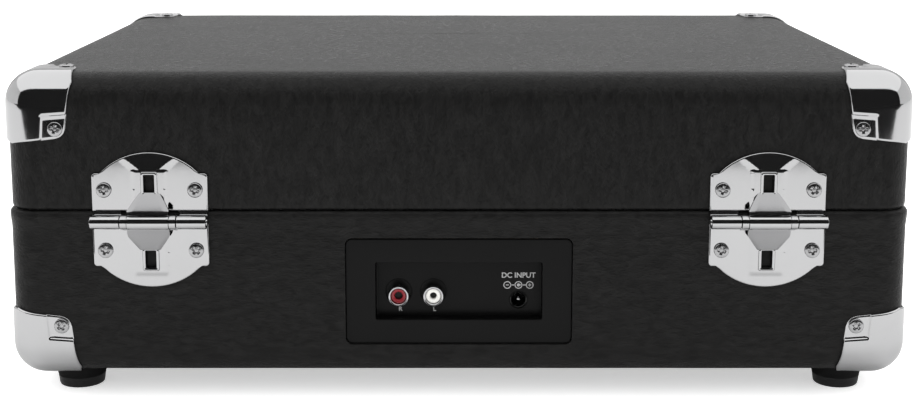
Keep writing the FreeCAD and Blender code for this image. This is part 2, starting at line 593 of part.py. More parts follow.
def drive_belt():
    band = belt_loop(value("belt_t")).cut(belt_loop(0)).extrude(Vector(0, 0, value("belt_h")))
    thing = doc.addObject("Part::Feature", "drive_belt")
    thing.Shape = band
    thing.Placement = FreeCAD.Placement()
    node("drive_belt", thing)


def tonearm():
    # fixed base with the arm's bearing, and the rest post
    disc = rod("arm_base_r", "arm_base_z - deck_z", "arm_x", "arm_y", "deck_z")
    shaft_bore = rod("3.06", "60", "arm_x", "arm_y", "deck_z - 20")
    neck = rod("3.3", "deck_t + 10", "arm_x", "arm_y", "deck_z - deck_t - 10")
    lift_bore = rod("stem_r + 0.06", "60", "arm_x - stem_in", "arm_y - stem_fore", "deck_z - 20")
    cue_posts = [box((f"cue_x + ({low})", f"cue_x + ({high})"), ("cue_y - 3", "cue_y + 3"),
                     ("arm_base_z - 1", "cue_z + 3")) for low, high in (("0 - 5", "0 - 3"), ("3", "5"))]
    cue_pin = rod("1", "10", "cue_x - 5", "cue_y", "cue_z", "x")
    node("tonearm_base", cut(fuse(disc, neck, *cue_posts, cue_pin), shaft_bore, lift_bore))
    post = box(("arm_x - 5", "arm_x + 8.5"), ("rest_y - 4", "rest_y + 4"), ("deck_z", "arm_z - arm_r - 0.4"))
    wall = box(("arm_x + arm_r + 0.6", "arm_x + 8.5"), ("rest_y - 4", "rest_y + 4"), ("deck_z", "clip_z - 2.4"))
    clip_ears = [box(("arm_x + arm_r + 0.6", "arm_x + 8.5"), (f"rest_y + ({low})", f"rest_y + ({high})"),
                     ("clip_z - 3", "clip_z + 2")) for low, high in (("0 - 4", "0 - 2.6"), ("2.6", "4"))]
    clip_pin = rod("0.8", "8", "clip_x", "rest_y - 4", "clip_z", "y")
    node("tonearm_rest", fuse(post, wall, *clip_ears, clip_pin))
    arm_clip = box(("clip_x - 0.8", "clip_x + 0.8"), ("rest_y - 2.3", "rest_y + 2.3"), ("clip_z", "clip_z + 13"))
    clip_eye = rod("1.7", "4.6", "clip_x", "rest_y - 2.3", "clip_z", "y")
    clip_bore = rod("0.86", "10", "clip_x", "rest_y - 5", "clip_z", "y")
    node("arm_clip", cut(fuse(arm_clip, clip_eye), clip_bore))
    # swinging yoke on its shaft
    shaft = rod("3", "deck_t + 24", "arm_x", "arm_y", "deck_z - deck_t - 12")
    hub = rod("hub_r", "4", "arm_x", "arm_y", "arm_base_z + 0.4")
    foot = box(("arm_x - ear_x - ear_t", "arm_x + ear_x + ear_t"), ("arm_y - 6", "arm_y + 6"),
               ("arm_base_z + 3", "arm_base_z + 7"))
    ears = [box((f"arm_x + ({low})", f"arm_x + ({high})"), ("arm_y - 6", "arm_y + 6"),
                ("arm_base_z + 3", "arm_z + 4"))
            for low, high in (("0 - ear_x - ear_t", "0 - ear_x"), ("ear_x", "ear_x + ear_t"))]
    axle = rod("axle_r", "2 * ear_x + 2", "arm_x - ear_x - 1", "arm_y", "arm_z", "x")
    node("tonearm_yoke", fuse(shaft, hub, foot, *ears, axle))
    # tilting arm
    length = "arm_len - 14 + tail"
    tube_rod = rod("arm_r", length, "arm_x", "arm_y - arm_len + 14", "arm_z", "y")
    bearing = box(("arm_x - ear_x + 0.6", "arm_x + ear_x - 0.6"), ("arm_y - 6", "arm_y + 6"),
                  ("arm_z - 5", "arm_z + 5"))
    axle_bore = rod("axle_r + 0.06", "60", "arm_x - 30", "arm_y", "arm_z", "x")
    node("tonearm_tube", cut(fuse(tube_rod, bearing), axle_bore))
    outline = [("0 - 4.5", "14"), ("4.5", "14"), ("8", "4"), ("8", "0 - 8"), ("0 - 8", "0 - 8"), ("0 - 8", "4")]
    shell = plate(outline, "XY_Plane", "7", "arm_x", "arm_y - arm_len", "arm_z")
    belly = box(("arm_x - 6.4", "arm_x + 6.4"), ("arm_y - arm_len - 6", "arm_y - arm_len + 4"),
                ("arm_z - 5", "arm_z - 0.5"))
    node("headshell", cut(shell, belly))
    cartridge = box(("arm_x - 6", "arm_x + 6"), ("arm_y - arm_len - 5", "arm_y - arm_len + 3.6"),
                    ("arm_z - 8", "arm_z - 0.5"))
    stylus = doc.addObject("Part::Cone", "Stylus")
    bind(stylus, "Radius1", "0.3")
    bind(stylus, "Radius2", "1.2")
    bind(stylus, "Height", "2.6")
    put(stylus, "arm_x", "arm_y - arm_len", "arm_z - 10.4")
    node("cartridge", fuse(cartridge, stylus))
    node("counterweight", tube("weight_r", "arm_r", "12", "arm_x", "arm_y + tail - 13", "arm_z", "y"))
    # cueing: a lift bar under the tube, and the lever that raises it
    sector = tube("lift_r + lift_w / 2", "lift_r - lift_w / 2", "1.6", "arm_x", "arm_y", "arm_z - arm_r - 1.9")
    outline = [("2", "0"), ("2", "0 - 30"), ("0 - 22", "0 - 30"), ("0 - 30", "0 - 12"), ("0", "0")]
    window = plate(outline, "XY_Plane", "60", "arm_x", "arm_y", "arm_z")
    stem = rod("stem_r", "16", "arm_x - stem_in", "arm_y - stem_fore", "arm_z - arm_r - 17")
    node("cue_lift", fuse(common(sector, window), stem))
    lever = box(("cue_x - 2", "cue_x + 2"), ("cue_y - 30", "cue_y"), ("cue_z - 1.2", "cue_z + 1.2"))
    lever_eye = rod("2.4", "5.4", "cue_x - 2.7", "cue_y", "cue_z", "x")
    lever_bore = rod("1.06", "20", "cue_x - 10", "cue_y", "cue_z", "x")
    node("cue_lever", cut(fuse(lever, lever_eye), lever_bore))


def controls():
    tall = "knob_z - deck_z"
    knob = [("0", "0 - 12"), ("2.9", "0 - 12"), ("2.9", "0.6"), ("knob_r - 0.6", "0.6"), ("knob_r", "1.4"),
            ("knob_r - 0.8", f"{tall} - 1"), ("knob_r - 1.8", tall), ("0", tall)]
    for name, y in (("volume_knob", "volume_y"), ("function_knob", "function_y")):
        body = turned(knob, "strip_x", y, "deck_z")
        mark = box(("strip_x - 0.6", "strip_x + 0.6"), (f"{y} + 2", f"{y} + knob_r - 2.4"),
                   ("knob_z - 0.8", "knob_z + 1"))
        node(name, cut(body, mark))
    for name, y in (("speed_selector", "speed_y"), ("auto_stop_switch", "stop_y")):
        cap = rounded(("strip_x - 4", "strip_x + 4"), (f"{y} - 3", f"{y} + 3"), ("deck_z + 0.4", "deck_z + 6"),
                      "1.2", None, "0.8")
        stem = box(("strip_x - 2", "strip_x + 2"), (f"{y} - 2", f"{y} + 2"),
                   ("deck_z - deck_t - 0.6", "deck_z + 1"))
        node(name, fuse(cap, stem))
    low = "deck_z - deck_t"
    pots = [tube("8", "3", "13", "strip_x", y, f"{low} - 13.2") for y in ("volume_y", "function_y")]
    switches = [box(("strip_x - 6", "strip_x + 6"), (f"{y} - 12", f"{y} + 12"), (f"{low} - 9", f"{low} - 0.8"))
                for y in ("speed_y", "stop_y")]
    node("control_bodies", *pots, *switches)
    led = [("0", "0 - 8"), ("2.5", "0 - 8"), ("2.5", "0.6"), ("1.6", "1.6"), ("0", "1.6")]
    node("power_led", turned(led, "strip_x", "led_y", "deck_z"))
    nut = [("jack_r", "0 - 14"), ("jack_r + 2", "0 - 14"), ("jack_r + 2", "0.2"), ("jack_r + 3.4", "0.2"),
           ("jack_r + 3.4", "1.4"), ("jack_r", "1.4")]
    node("headphone_jack", turned(nut, "strip_x", "jack_y", "deck_z"))
    ring = [("post_r + 0.3", "0"), ("adapter_r", "0"), ("adapter_r", "1"), ("adapter_r - 3", "4"),
            ("post_r + 0.3", "4")]
    node("adapter_45", turned(ring, "post_x", "post_y", "deck_z + 0.2"))


def loudspeakers():
    grilles, frames, cones = [], [], []
    for side in ("speaker_x", "0 - speaker_x"):
        disc = rod("speaker_r", "2", side, "speaker_y", "deck_z - 1.8")
        slots = []
        for index in range(-3, 4):
            half = f"sqrt((speaker_r - 3) ^ 2 - ({index} * slot_pitch) ^ 2)"
            middle = f"speaker_y + ({index}) * slot_pitch"
            slots.append(box((f"{side} - {half}", f"{side} + {half}"),
                             (f"{middle} - slot_half", f"{middle} + slot_half"), ("deck_z - 3", "deck_z + 1")))
        grilles.append(cut(disc, *slots))
        basket = [("magnet_r", "0"), ("magnet_r + 1", "0"), ("speaker_r + 3", "14"), ("speaker_r + 3", "16"),
                  ("speaker_r", "16"), ("speaker_r", "15"), ("magnet_r", "1")]
        magnet = rod("magnet_r", "9", side, "speaker_y", "deck_z - deck_t - 25")
        frames.append(fuse(turned(basket, side, "speaker_y", "deck_z - deck_t - 16.1"), magnet))
        cone = [("0", "4"), ("4", "5"), ("speaker_r - 3.4", "13"), ("speaker_r - 1.2", "14.4"),
                ("speaker_r - 1.2", "13.9"), ("speaker_r - 3.2", "12.4"), ("4", "4.2"), ("0", "3.4")]
        cones.append(turned(cone, side, "speaker_y", "deck_z - deck_t - 15.6"))
    node("speaker_grilles", *grilles)
    node("speaker_frames", *frames)
    node("speaker_cones", *cones)


def electronics():
    board = box(("30", "110"), ("0", "60"), ("24", "25.6"))
    posts = [rod("2.5", "8", x, y, "16") for x in ("34", "106") for y in ("4", "56")]
    chips = [box((x, f"{x} + 14"), (y, f"{y} + 10"), ("25.6", "28")) for x, y in (("44", "14"), ("72", "36"))]
    caps = [rod("4", "11", x, "46", "25.6") for x in ("44", "56")]
    node("main_board", fuse(board, *posts, *chips, *caps))


base_tray()
lid_shell()
place_guards("base_corner_guards", "base_w", "base_d", "foot_z", False)
place_guards("lid_corner_guards", "lid_w", "lid_d", "top_z", True)
case_screws()
feet()
hinges()
jack_panel()
latches()
handle()
deck()
turntable()
drive_belt()
tonearm()
controls()
loudspeakers()
electronics()
doc.recompute()

for thing in doc.Objects:
    if "Invalid" in thing.State or "Error" in thing.State:
        raise RuntimeError(f"{thing.Name} ({thing.Label}) did not recompute: {thing.State}")
os.makedirs("parts", exist_ok=True)
for thing in nodes:
    if thing.Shape.isNull() or not thing.Shape.isValid():
        raise RuntimeError(f"{thing.Label} has no valid shape")
    thing.Shape.exportStep(f"parts/{thing.Label}.step")
    bounds = thing.Shape.BoundBox
    print(f"{thing.Label:22s} {len(thing.Shape.Solids):3d} solids {thing.Shape.Volume:12.1f} mm3 "
          f"x {bounds.XMin:7.1f} {bounds.XMax:7.1f} y {bounds.YMin:7.1f} {bounds.YMax:7.1f} "
          f"z {bounds.ZMin:6.1f} {bounds.ZMax:6.1f}")
print(len(nodes), "nodes")
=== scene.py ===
import json
import math

import bmesh
import bpy
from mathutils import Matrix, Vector, noise
from mathutils.geometry import tessellate_polygon


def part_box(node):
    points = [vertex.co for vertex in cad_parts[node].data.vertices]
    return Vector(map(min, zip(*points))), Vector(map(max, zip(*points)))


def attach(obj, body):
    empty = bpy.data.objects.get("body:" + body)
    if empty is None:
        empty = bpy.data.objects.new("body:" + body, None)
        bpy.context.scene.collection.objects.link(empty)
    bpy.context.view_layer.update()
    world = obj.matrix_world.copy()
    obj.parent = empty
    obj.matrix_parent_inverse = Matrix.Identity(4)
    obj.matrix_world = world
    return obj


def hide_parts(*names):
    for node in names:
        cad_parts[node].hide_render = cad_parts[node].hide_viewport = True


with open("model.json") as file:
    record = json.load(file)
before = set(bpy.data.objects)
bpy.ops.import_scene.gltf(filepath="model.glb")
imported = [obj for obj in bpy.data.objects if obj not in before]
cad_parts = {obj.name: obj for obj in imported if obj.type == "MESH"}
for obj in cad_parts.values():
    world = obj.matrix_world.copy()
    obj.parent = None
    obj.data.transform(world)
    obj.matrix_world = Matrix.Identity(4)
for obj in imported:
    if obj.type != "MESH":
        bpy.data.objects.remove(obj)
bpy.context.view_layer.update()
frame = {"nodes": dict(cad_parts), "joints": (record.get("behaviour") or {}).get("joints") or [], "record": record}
MM = 0.001
RIPPLE_SEED = 7
noise.seed_set(RIPPLE_SEED)  # noise_vector takes its offsets from the clock otherwise


# ---------------------------------------------------------------- places, read from the frame, in millimetres
def corners(node):
    """Lowest and highest corner of a CAD node."""
    low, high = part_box(node)
    return low / MM, high / MM


def joint_place(name):
    found = next(joint for joint in frame["joints"] if joint["name"] == name)
    return Vector(found["pos_m"]) / MM


BASE_LOW, BASE_HIGH = corners("base_leatherette")
LID_LOW, LID_HIGH = corners("lid_leatherette")
EDGE_R = 12.0
BACK = BASE_HIGH.y
FRONT = BASE_LOW.y
PANEL_LOW, PANEL_HIGH = corners("jack_panel")
PIN = joint_place("lid_hinge")
HINGE_X = corners("hinge_pins")[1].x - 22.7
GUARD_T = corners("lid_corner_guards")[1].x - LID_HIGH.x
SCREW_IN = 20.7
OUT_BACK = "+y"
OUT_FRONT = "-y"
# for each outward direction: the direction itself, then the two directions of a drawing seen against it
FACINGS = {
    "+x": (Vector((1, 0, 0)), Vector((0, 1, 0)), Vector((0, 0, 1))),
    "-x": (Vector((-1, 0, 0)), Vector((0, -1, 0)), Vector((0, 0, 1))),
    "+y": (Vector((0, 1, 0)), Vector((-1, 0, 0)), Vector((0, 0, 1))),
    "-y": (Vector((0, -1, 0)), Vector((1, 0, 0)), Vector((0, 0, 1))),
    "+z": (Vector((0, 0, 1)), Vector((1, 0, 0)), Vector((0, 1, 0))),
    "-z": (Vector((0, 0, -1)), Vector((1, 0, 0)), Vector((0, -1, 0))),
}


# ---------------------------------------------------------------- outlines
def rounded_outline(points, radii, steps=5):
    """A closed outline with an arc at each corner; radii is one number or one for each corner."""
    count = len(points)
    if isinstance(radii, (int, float)):
        radii = [radii] * count
    outline = []
    for index in range(count):
        corner = Vector(points[index])
        before = (Vector(points[index - 1]) - corner).normalized()
        after = (Vector(points[(index + 1) % count]) - corner).normalized()
        radius = radii[index]
        if radius <= 0 or abs(before.dot(after)) > 0.999:
            outline.append(tuple(corner))
            continue
        half = before.angle(after) / 2
        centre = corner + (before + after).normalized() * (radius / math.sin(half))
        start = corner + before * (radius / math.tan(half)) - centre
        end = corner + after * (radius / math.tan(half)) - centre
        for step in range(steps + 1):
            share = step / steps
            outline.append(tuple(centre + start.slerp(end, share).normalized() * radius))
    return outline


def rectangle(x_low, x_high, y_low, y_high, radius=0.0, steps=5):
    points = [(x_low, y_low), (x_high, y_low), (x_high, y_high), (x_low, y_high)]
    return rounded_outline(points, radius, steps)


def circle(x, y, radius, steps=40):
    turn = 2 * math.pi / steps
    return [(x + radius * math.cos(turn * step), y + radius * math.sin(turn * step)) for step in range(steps)]


def area(outline):
    return sum(a[0] * b[1] - b[0] * a[1] for a, b in zip(outline, outline[1:] + outline[:1])) / 2


def inset(outline, distance):
    """The outline moved inward by a distance, or outward where it is negative."""
    if distance == 0:
        return list(outline)
    side = 1 if area(outline) > 0 else -1
    count = len(outline)
    moved = []
    for index in range(count):
        point = Vector(outline[index])
        before = (point - Vector(outline[index - 1])).normalized()
        after = (Vector(outline[(index + 1) % count]) - point).normalized()
        first = Vector((-before.y, before.x)) * side
        second = Vector((-after.y, after.x)) * side
        moved.append(tuple(point + (first + second) * (distance / max(0.3, 1 + first.dot(second)))))
    return moved


# ---------------------------------------------------------------- solids as (vertices, faces), in millimetres
def loft(rings, cap_first=False, cap_last=False, closed=True):
    """Faces between rings of the same count."""
    count = len(rings[0])
    spots = [tuple(spot) for ring in rings for spot in ring]
    faces = []
    for row in range(len(rings) - 1):
        for index in range(count if closed else count - 1):
            here, there = row * count + index, row * count + (index + 1) % count
            faces.append((here, there, there + count, here + count))
    if cap_first:
        faces.append(tuple(reversed(range(count))))
    if cap_last:
        faces.append(tuple(range((len(rings) - 1) * count, len(rings) * count)))
    return spots, faces


def placed(facing, centre, x, y, out):
    """A spot of a drawing that lies against a facing direction."""
    outward, across, up = FACINGS[facing]
    return Vector(centre) + across * x + up * y + outward * out


def lathe(profile, facing, centre, steps=40):
    """A turned solid: (radius, height) points about an axis along the facing direction."""
    rings = []
    for radius, height in profile:
        rings.append([placed(facing, centre, x, y, height) for x, y in circle(0, 0, max(radius, 0.0), steps)])
    return loft(rings)


def flat_fill(loops, facing, centre, level):
    """A flat face inside the first loop and outside the others."""
    flat = [[Vector((x, y, 0)) for x, y in loop] for loop in loops]
    spots = [placed(facing, centre, x, y, level) for loop in loops for x, y in loop]
    return spots, [tuple(face) for face in tessellate_polygon(flat)]


def smooth_step(value):
    value = min(1.0, max(0.0, value))
    return value * value * (3 - 2 * value)


def fine_fill(loops, facing, centre, level, cell, lift):
    """A face inside the first loop and outside the others, cut into small cells and raised by lift(x, y)."""
    spots, faces = flat_fill(loops, "+z", (0, 0, 0), 0)
    work = bmesh.new()
    made = [work.verts.new(spot) for spot in spots]
    for face in faces:
        work.faces.new([made[index] for index in face])
    for axis in (0, 1):
        values = [point[axis] for point in loops[0]]
        count = int((max(values) - min(values)) / cell)
        for step in range(1, count + 1):
            place, normal = Vector(), Vector()
            place[axis], normal[axis] = min(values) + step * cell, 1.0
            everything = work.verts[:] + work.edges[:] + work.faces[:]
            bmesh.ops.bisect_plane(work, geom=everything, plane_co=place, plane_no=normal)
    work.verts.index_update()
    raised = [placed(facing, centre, v.co.x, v.co.y, level + lift(v.co.x, v.co.y)) for v in work.verts]
    cut = [tuple(v.index for v in face.verts) for face in work.faces]
    work.free()
    return raised, cut


ROUND_IN = 0.134  # 1 - cos 30 degrees
CELL = 0.6


def plate(outline, holes, facing, centre, low, high, bevel, lift=None):
    """A sheet between two levels with a rounded front edge all round and at its holes."""
    parts = []
    for loop, side in [(outline, 1)] + [(hole, -1) for hole in holes]:
        levels = [(0, low), (0, high - bevel), (ROUND_IN * bevel, high - 0.5 * bevel),
                  (0.5 * bevel, high - ROUND_IN * bevel), (bevel, high)]
        parts.append(stepped(loop, facing, centre, [(side * step, level) for step, level in levels]))
    tops = [inset(outline, bevel)] + [inset(hole, -bevel) for hole in holes]
    if lift:
        parts.append(fine_fill(tops, facing, centre, high, CELL, lift))
    else:
        parts.append(flat_fill(tops, facing, centre, high))
    parts.append(flat_fill([outline] + list(holes), facing, centre, low))
    return parts


def stepped(outline, facing, centre, steps, cap_last=False):
    """A wall that follows an outline through (inset, level) steps."""
    rings = [[placed(facing, centre, x, y, level) for x, y in inset(outline, step)] for step, level in steps]
    return loft(rings, cap_last=cap_last)


def moved(part, change):
    spots, faces = part
    return [change(Vector(spot)) for spot in spots], faces


def make(name, body, slot, parts, material=None, sharp=35, replaces=(), weighted=True):
    """One Blender piece from its parts; it rides on a body and takes a slot's material."""
    mesh = bpy.data.meshes.new(name)
    vertices, faces = [], []
    for spots, polygons in parts:
        start = len(vertices)
        vertices += [Vector(spot) * MM for spot in spots]
        faces += [[start + index for index in polygon] for polygon in polygons]
    mesh.from_pydata(vertices, [], faces)
    work = bmesh.new()
    work.from_mesh(mesh)
    bmesh.ops.remove_doubles(work, verts=work.verts, dist=0.002 * MM)
    bmesh.ops.dissolve_degenerate(work, edges=work.edges, dist=0.001 * MM)
    bmesh.ops.recalc_face_normals(work, faces=work.faces)
    work.to_mesh(mesh)
    work.free()
    mesh.polygons.foreach_set("use_smooth", [True] * len(mesh.polygons))
    mesh.set_sharp_from_angle(angle=math.radians(sharp))
    mesh.materials.append(material or MATERIALS[slot])
    item = bpy.data.objects.new(name, mesh)
    bpy.context.scene.collection.objects.link(item)
    if weighted:
        even = item.modifiers.new("even_normals", "WEIGHTED_NORMAL")
        even.keep_sharp = True
    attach(item, body)
    if replaces:
        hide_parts(*replaces)
    return item


# ---------------------------------------------------------------- node helpers
class Nodes:
    """A short way to write one material's node tree."""

    def __init__(self, name):
        self.material = bpy.data.materials.new(name)
        self.material.use_nodes = True
        self.tree = self.material.node_tree
        self.shader = self.tree.nodes["Principled BSDF"]
        self.coords = self.tree.nodes.new("ShaderNodeTexCoord")

    def set(self, **values):
        for key, value in values.items():
            socket = self.shader.inputs[key.replace("_", " ").title().replace("Ior", "IOR")]
            socket.default_value = value
        return self

    def link(self, source, target):
        self.tree.links.new(source, target)

    def mapped(self, scale=(1, 1, 1)):
        node = self.tree.nodes.new("ShaderNodeMapping")
        node.inputs["Scale"].default_value = scale
        self.link(self.coords.outputs["Object"], node.inputs["Vector"])
        return node.outputs["Vector"]

    def noise(self, vector, scale, detail=3.0, roughness=0.5, distortion=0.0):
        node = self.tree.nodes.new("ShaderNodeTexNoise")
        node.inputs["Scale"].default_value = scale
        node.inputs["Detail"].default_value = detail
        node.inputs["Roughness"].default_value = roughness
        node.inputs["Distortion"].default_value = distortion
        self.link(vector, node.inputs["Vector"])
        return node.outputs["Fac"]

    def cells(self, vector, scale, feature="DISTANCE_TO_EDGE"):
        node = self.tree.nodes.new("ShaderNodeTexVoronoi")
        node.feature = feature
        node.inputs["Scale"].default_value = scale
        self.link(vector, node.inputs["Vector"])
        return node.outputs["Distance"]

    def ramp(self, value, low, high, out_low, out_high):
        node = self.tree.nodes.new("ShaderNodeMapRange")
        for key, number in (("From Min", low), ("From Max", high), ("To Min", out_low), ("To Max", out_high)):
            node.inputs[key].default_value = number
        self.link(value, node.inputs["Value"])
        return node.outputs["Result"]

    def math(self, operation, first, second):
        node = self.tree.nodes.new("ShaderNodeMath")
        node.operation = operation
        for index, item in enumerate((first, second)):
            if isinstance(item, (int, float)):
                node.inputs[index].default_value = item
            else:
                self.link(item, node.inputs[index])
        return node.outputs["Value"]

    def tint(self, factor, dark, light):
        node = self.tree.nodes.new("ShaderNodeMix")
        node.data_type = "RGBA"
        node.inputs["A"].default_value = (*dark, 1)
        node.inputs["B"].default_value = (*light, 1)
        self.link(factor, node.inputs["Factor"])
        self.link(node.outputs["Result"], self.shader.inputs["Base Color"])

    def rough(self, value):
        self.link(value, self.shader.inputs["Roughness"])

    def bump(self, height, distance, strength=1.0):
        node = self.tree.nodes.new("ShaderNodeBump")
        node.inputs["Strength"].default_value = strength
        node.inputs["Distance"].default_value = distance
        self.link(height, node.inputs["Height"])
        previous = self.shader.inputs["Normal"].links
        if previous:
            self.link(previous[0].from_socket, node.inputs["Normal"])
        self.link(node.outputs["Normal"], self.shader.inputs["Normal"])


# ---------------------------------------------------------------- materials
def leatherette(name, stretch, depth=0.00020, grain=1.0):
    """Black grained leatherette; stretch squeezes the grain's creases along one direction."""
    made = Nodes(name)
    creased = made.mapped(stretch)
    even = made.mapped()
    creases = made.noise(creased, 430 * grain, 5.0, 0.66, 0.7)
    pebbles = made.cells(creased, 900 * grain)
    patches = made.noise(even, 26, 2.0)
    height = made.math("ADD", made.ramp(creases, 0.3, 0.7, 0, 1), made.ramp(pebbles, 0, 0.35, 0, 0.5))
    made.bump(height, depth, 0.6)
    made.tint(made.ramp(creases, 0.35, 0.7, 0, 1), (0.0058, 0.0057, 0.0056), (0.0112, 0.0110, 0.0108))
    polish = made.ramp(patches, 0.3, 0.7, 0.285, 0.30)
    made.rough(made.math("ADD", polish, made.ramp(creases, 0.3, 0.7, 0.05, -0.04)))
    made.set(specular_ior_level=0.085)
    return made.material


def metal(name, colour, roughness, smudge=0.05, wave=0.00004, wave_scale=60):
    made = Nodes(name)
    even = made.mapped()
    cloud = made.noise(even, 70, 4.0, 0.6)
    made.tint(cloud, tuple(0.93 * channel for channel in colour), colour)
    made.rough(made.ramp(cloud, 0.3, 0.7, roughness, roughness + smudge))
    made.bump(made.noise(even, wave_scale, 2.0), wave)
    made.set(metallic=1.0)
    return made.material


def plastic(name, colour, roughness, grain=0.00004, grain_scale=2400, level=0.5):
    made = Nodes(name)
    even = made.mapped()
    fine = made.noise(even, grain_scale, 2.0)
    broad = made.noise(even, 45, 3.0)
    made.tint(broad, tuple(0.8 * channel for channel in colour), colour)
    made.rough(made.ramp(broad, 0.3, 0.7, roughness, roughness + 0.07))
    made.bump(fine, grain)
    made.set(specular_ior_level=level)
    return made.material


def fibre(name, colour, scale, depth):
    made = Nodes(name)
    even = made.mapped()
    pile = made.noise(even, scale, 5.0, 0.7)
    broad = made.noise(even, 30, 3.0)
    mixed = made.math("MULTIPLY", pile, made.ramp(broad, 0.3, 0.7, 0.8, 1.1))
    made.tint(mixed, tuple(0.4 * channel for channel in colour), colour)
    made.bump(pile, depth)
    made.set(roughness=0.95, specular_ior_level=0.15, sheen_weight=0.25)
    return made.material


def board(name):
    made = Nodes(name)
    even = made.mapped((1, 1, 4))
    flecks = made.noise(even, 700, 5.0, 0.75)
    made.tint(flecks, (0.28, 0.18, 0.10), (0.50, 0.36, 0.22))
    made.bump(flecks, 0.00008)
    made.set(roughness=0.85)
    return made.material


MATERIALS = {
    "leatherette": leatherette("lid_grain", (1, 1, 0.4)),
    "board": board("fibreboard"),
    "lining": fibre("lining_flock", (0.016, 0.016, 0.017), 1600, 0.0001),
    "chrome": metal("chrome_plate", (0.50, 0.50, 0.505), 0.055, 0.04, 0.00003),
    "zinc": metal("plated_steel", (0.50, 0.50, 0.50), 0.28),
    "black_plastic": plastic("black_moulding", (0.006, 0.006, 0.006), 0.42, level=0.25),
    "gloss_plastic": plastic("gloss_black", (0.004, 0.004, 0.004), 0.16, 0.000008, level=0.3),
    "rubber": plastic("black_rubber", (0.005, 0.005, 0.005), 0.62, 0.00006, 1500, 0.2),
    "felt": fibre("mat_felt", (0.02, 0.02, 0.02), 1900, 0.0002),
    "red_plastic": plastic("red_insulator", (0.20, 0.006, 0.012), 0.25, 0.00001),
    "white_plastic": plastic("white_insulator", (0.72, 0.71, 0.68), 0.30, 0.00001),
    "circuit_board": plastic("green_mask", (0.01, 0.07, 0.03), 0.35, 0.00002),
    "brass": metal("turned_brass", (0.70, 0.48, 0.20), 0.22),
    "paper": fibre("paper_cone", (0.03, 0.03, 0.03), 900, 0.0002),
    "aluminium": metal("satin_aluminium", (0.70, 0.70, 0.71), 0.30, 0.06),
    "screws": metal("screw_plate", (0.42, 0.42, 0.425), 0.2),
    "hinge_chrome": metal("hinge_plate", (0.50, 0.50, 0.505), 0.06, 0.04, 0.00002),
    # painted shade: the hinge covers get a darker copy of the hinge plating (0.34 against 0.50), standing in for
    # the dim reflections their tilted sheets catch
    "hinge_cover_painted_shade": metal("hinge_cover_painted_shade", (0.34, 0.34, 0.345), 0.12),
    "panel_black": plastic("panel_moulding", (0.0035, 0.0035, 0.0035), 0.30, 0.00003, 2600, 0.12),
    "socket_metal": metal("socket_plate", (0.60, 0.60, 0.61), 0.18),
    "ink": plastic("white_ink", (0.30, 0.30, 0.30), 0.6),
    "thread": plastic("black_thread", (0.02, 0.02, 0.02), 0.7, 0.00005, 3000, 0.3),
    "handle_grain": leatherette("handle_grain", (1, 1, 1), 0.00014, 1.4),
}
BASE_GRAIN = leatherette("base_grain", (0.4, 1, 1))


def dress_cad():
    """Every CAD node that shows gets the material of its slot."""
    for row in frame["record"]["subparts"]:
        mesh = frame["nodes"][row["node"]].data
        mesh.materials.clear()
        mesh.materials.append(MATERIALS[row["material_slot"]])


# ---------------------------------------------------------------- the covered case
SEAM_Z = (BASE_HIGH.z + LID_LOW.z) / 2
PANEL_HALF = PANEL_HIGH.x + 0.15
PANEL_TOP = PANEL_HIGH.z + 0.15
PANEL_BOTTOM = PANEL_LOW.z - 0.15
SIDE_STOPS = [-150, -125, -100, -72, -PANEL_HALF, -22, 0, 22, PANEL_HALF, 72, 100, 125, 150]
DEPTH_STOPS = [-90, -60, -30, 0, 30, 60, 90]


def case_ring(low, high, step, level):
    """A rounded rectangle round the case, a step in from its walls."""
    radius = max(EDGE_R - step, 0.05)
    mid_y = (low.y + high.y) / 2
    half_x, half_y = high.x - step, (high.y - low.y) / 2 - step
    flat_x, flat_y = half_x - radius, half_y - radius
    spread_x = flat_x / (high.x - EDGE_R)
    spread_y = flat_y / ((high.y - low.y) / 2 - EDGE_R)
    ring = []
    for quarter in range(4):
        turn = quarter * math.pi / 2
        centre_x = flat_x * (1, -1, -1, 1)[quarter]
        centre_y = flat_y * (1, 1, -1, -1)[quarter]
        for tick in range(9):
            angle = turn + tick * math.pi / 16
            ring.append((centre_x + radius * math.cos(angle), centre_y + radius * math.sin(angle)))
        if quarter == 0:
            ring += [(-stop * spread_x, half_y) for stop in SIDE_STOPS]
        elif quarter == 1:
            ring += [(-half_x, -stop * spread_y) for stop in DEPTH_STOPS]
        elif quarter == 2:
            ring += [(stop * spread_x, -half_y) for stop in SIDE_STOPS]
        else:
            ring += [(half_x, stop * spread_y) for stop in DEPTH_STOPS]
    return [Vector((x, y + mid_y, level)) for x, y in ring]


def ripple(spot, amount=0.09, spread=0.035):
    """Cloth glued over board is never quite flat, but it is stretched tight over the rims."""
    shift = noise.noise_vector(spot * spread) + 0.5 * noise.noise_vector(spot * spread * 3.1)
    return spot + shift * amount * smooth_step((abs(spot.z - SEAM_Z) - 1.5) / 4)


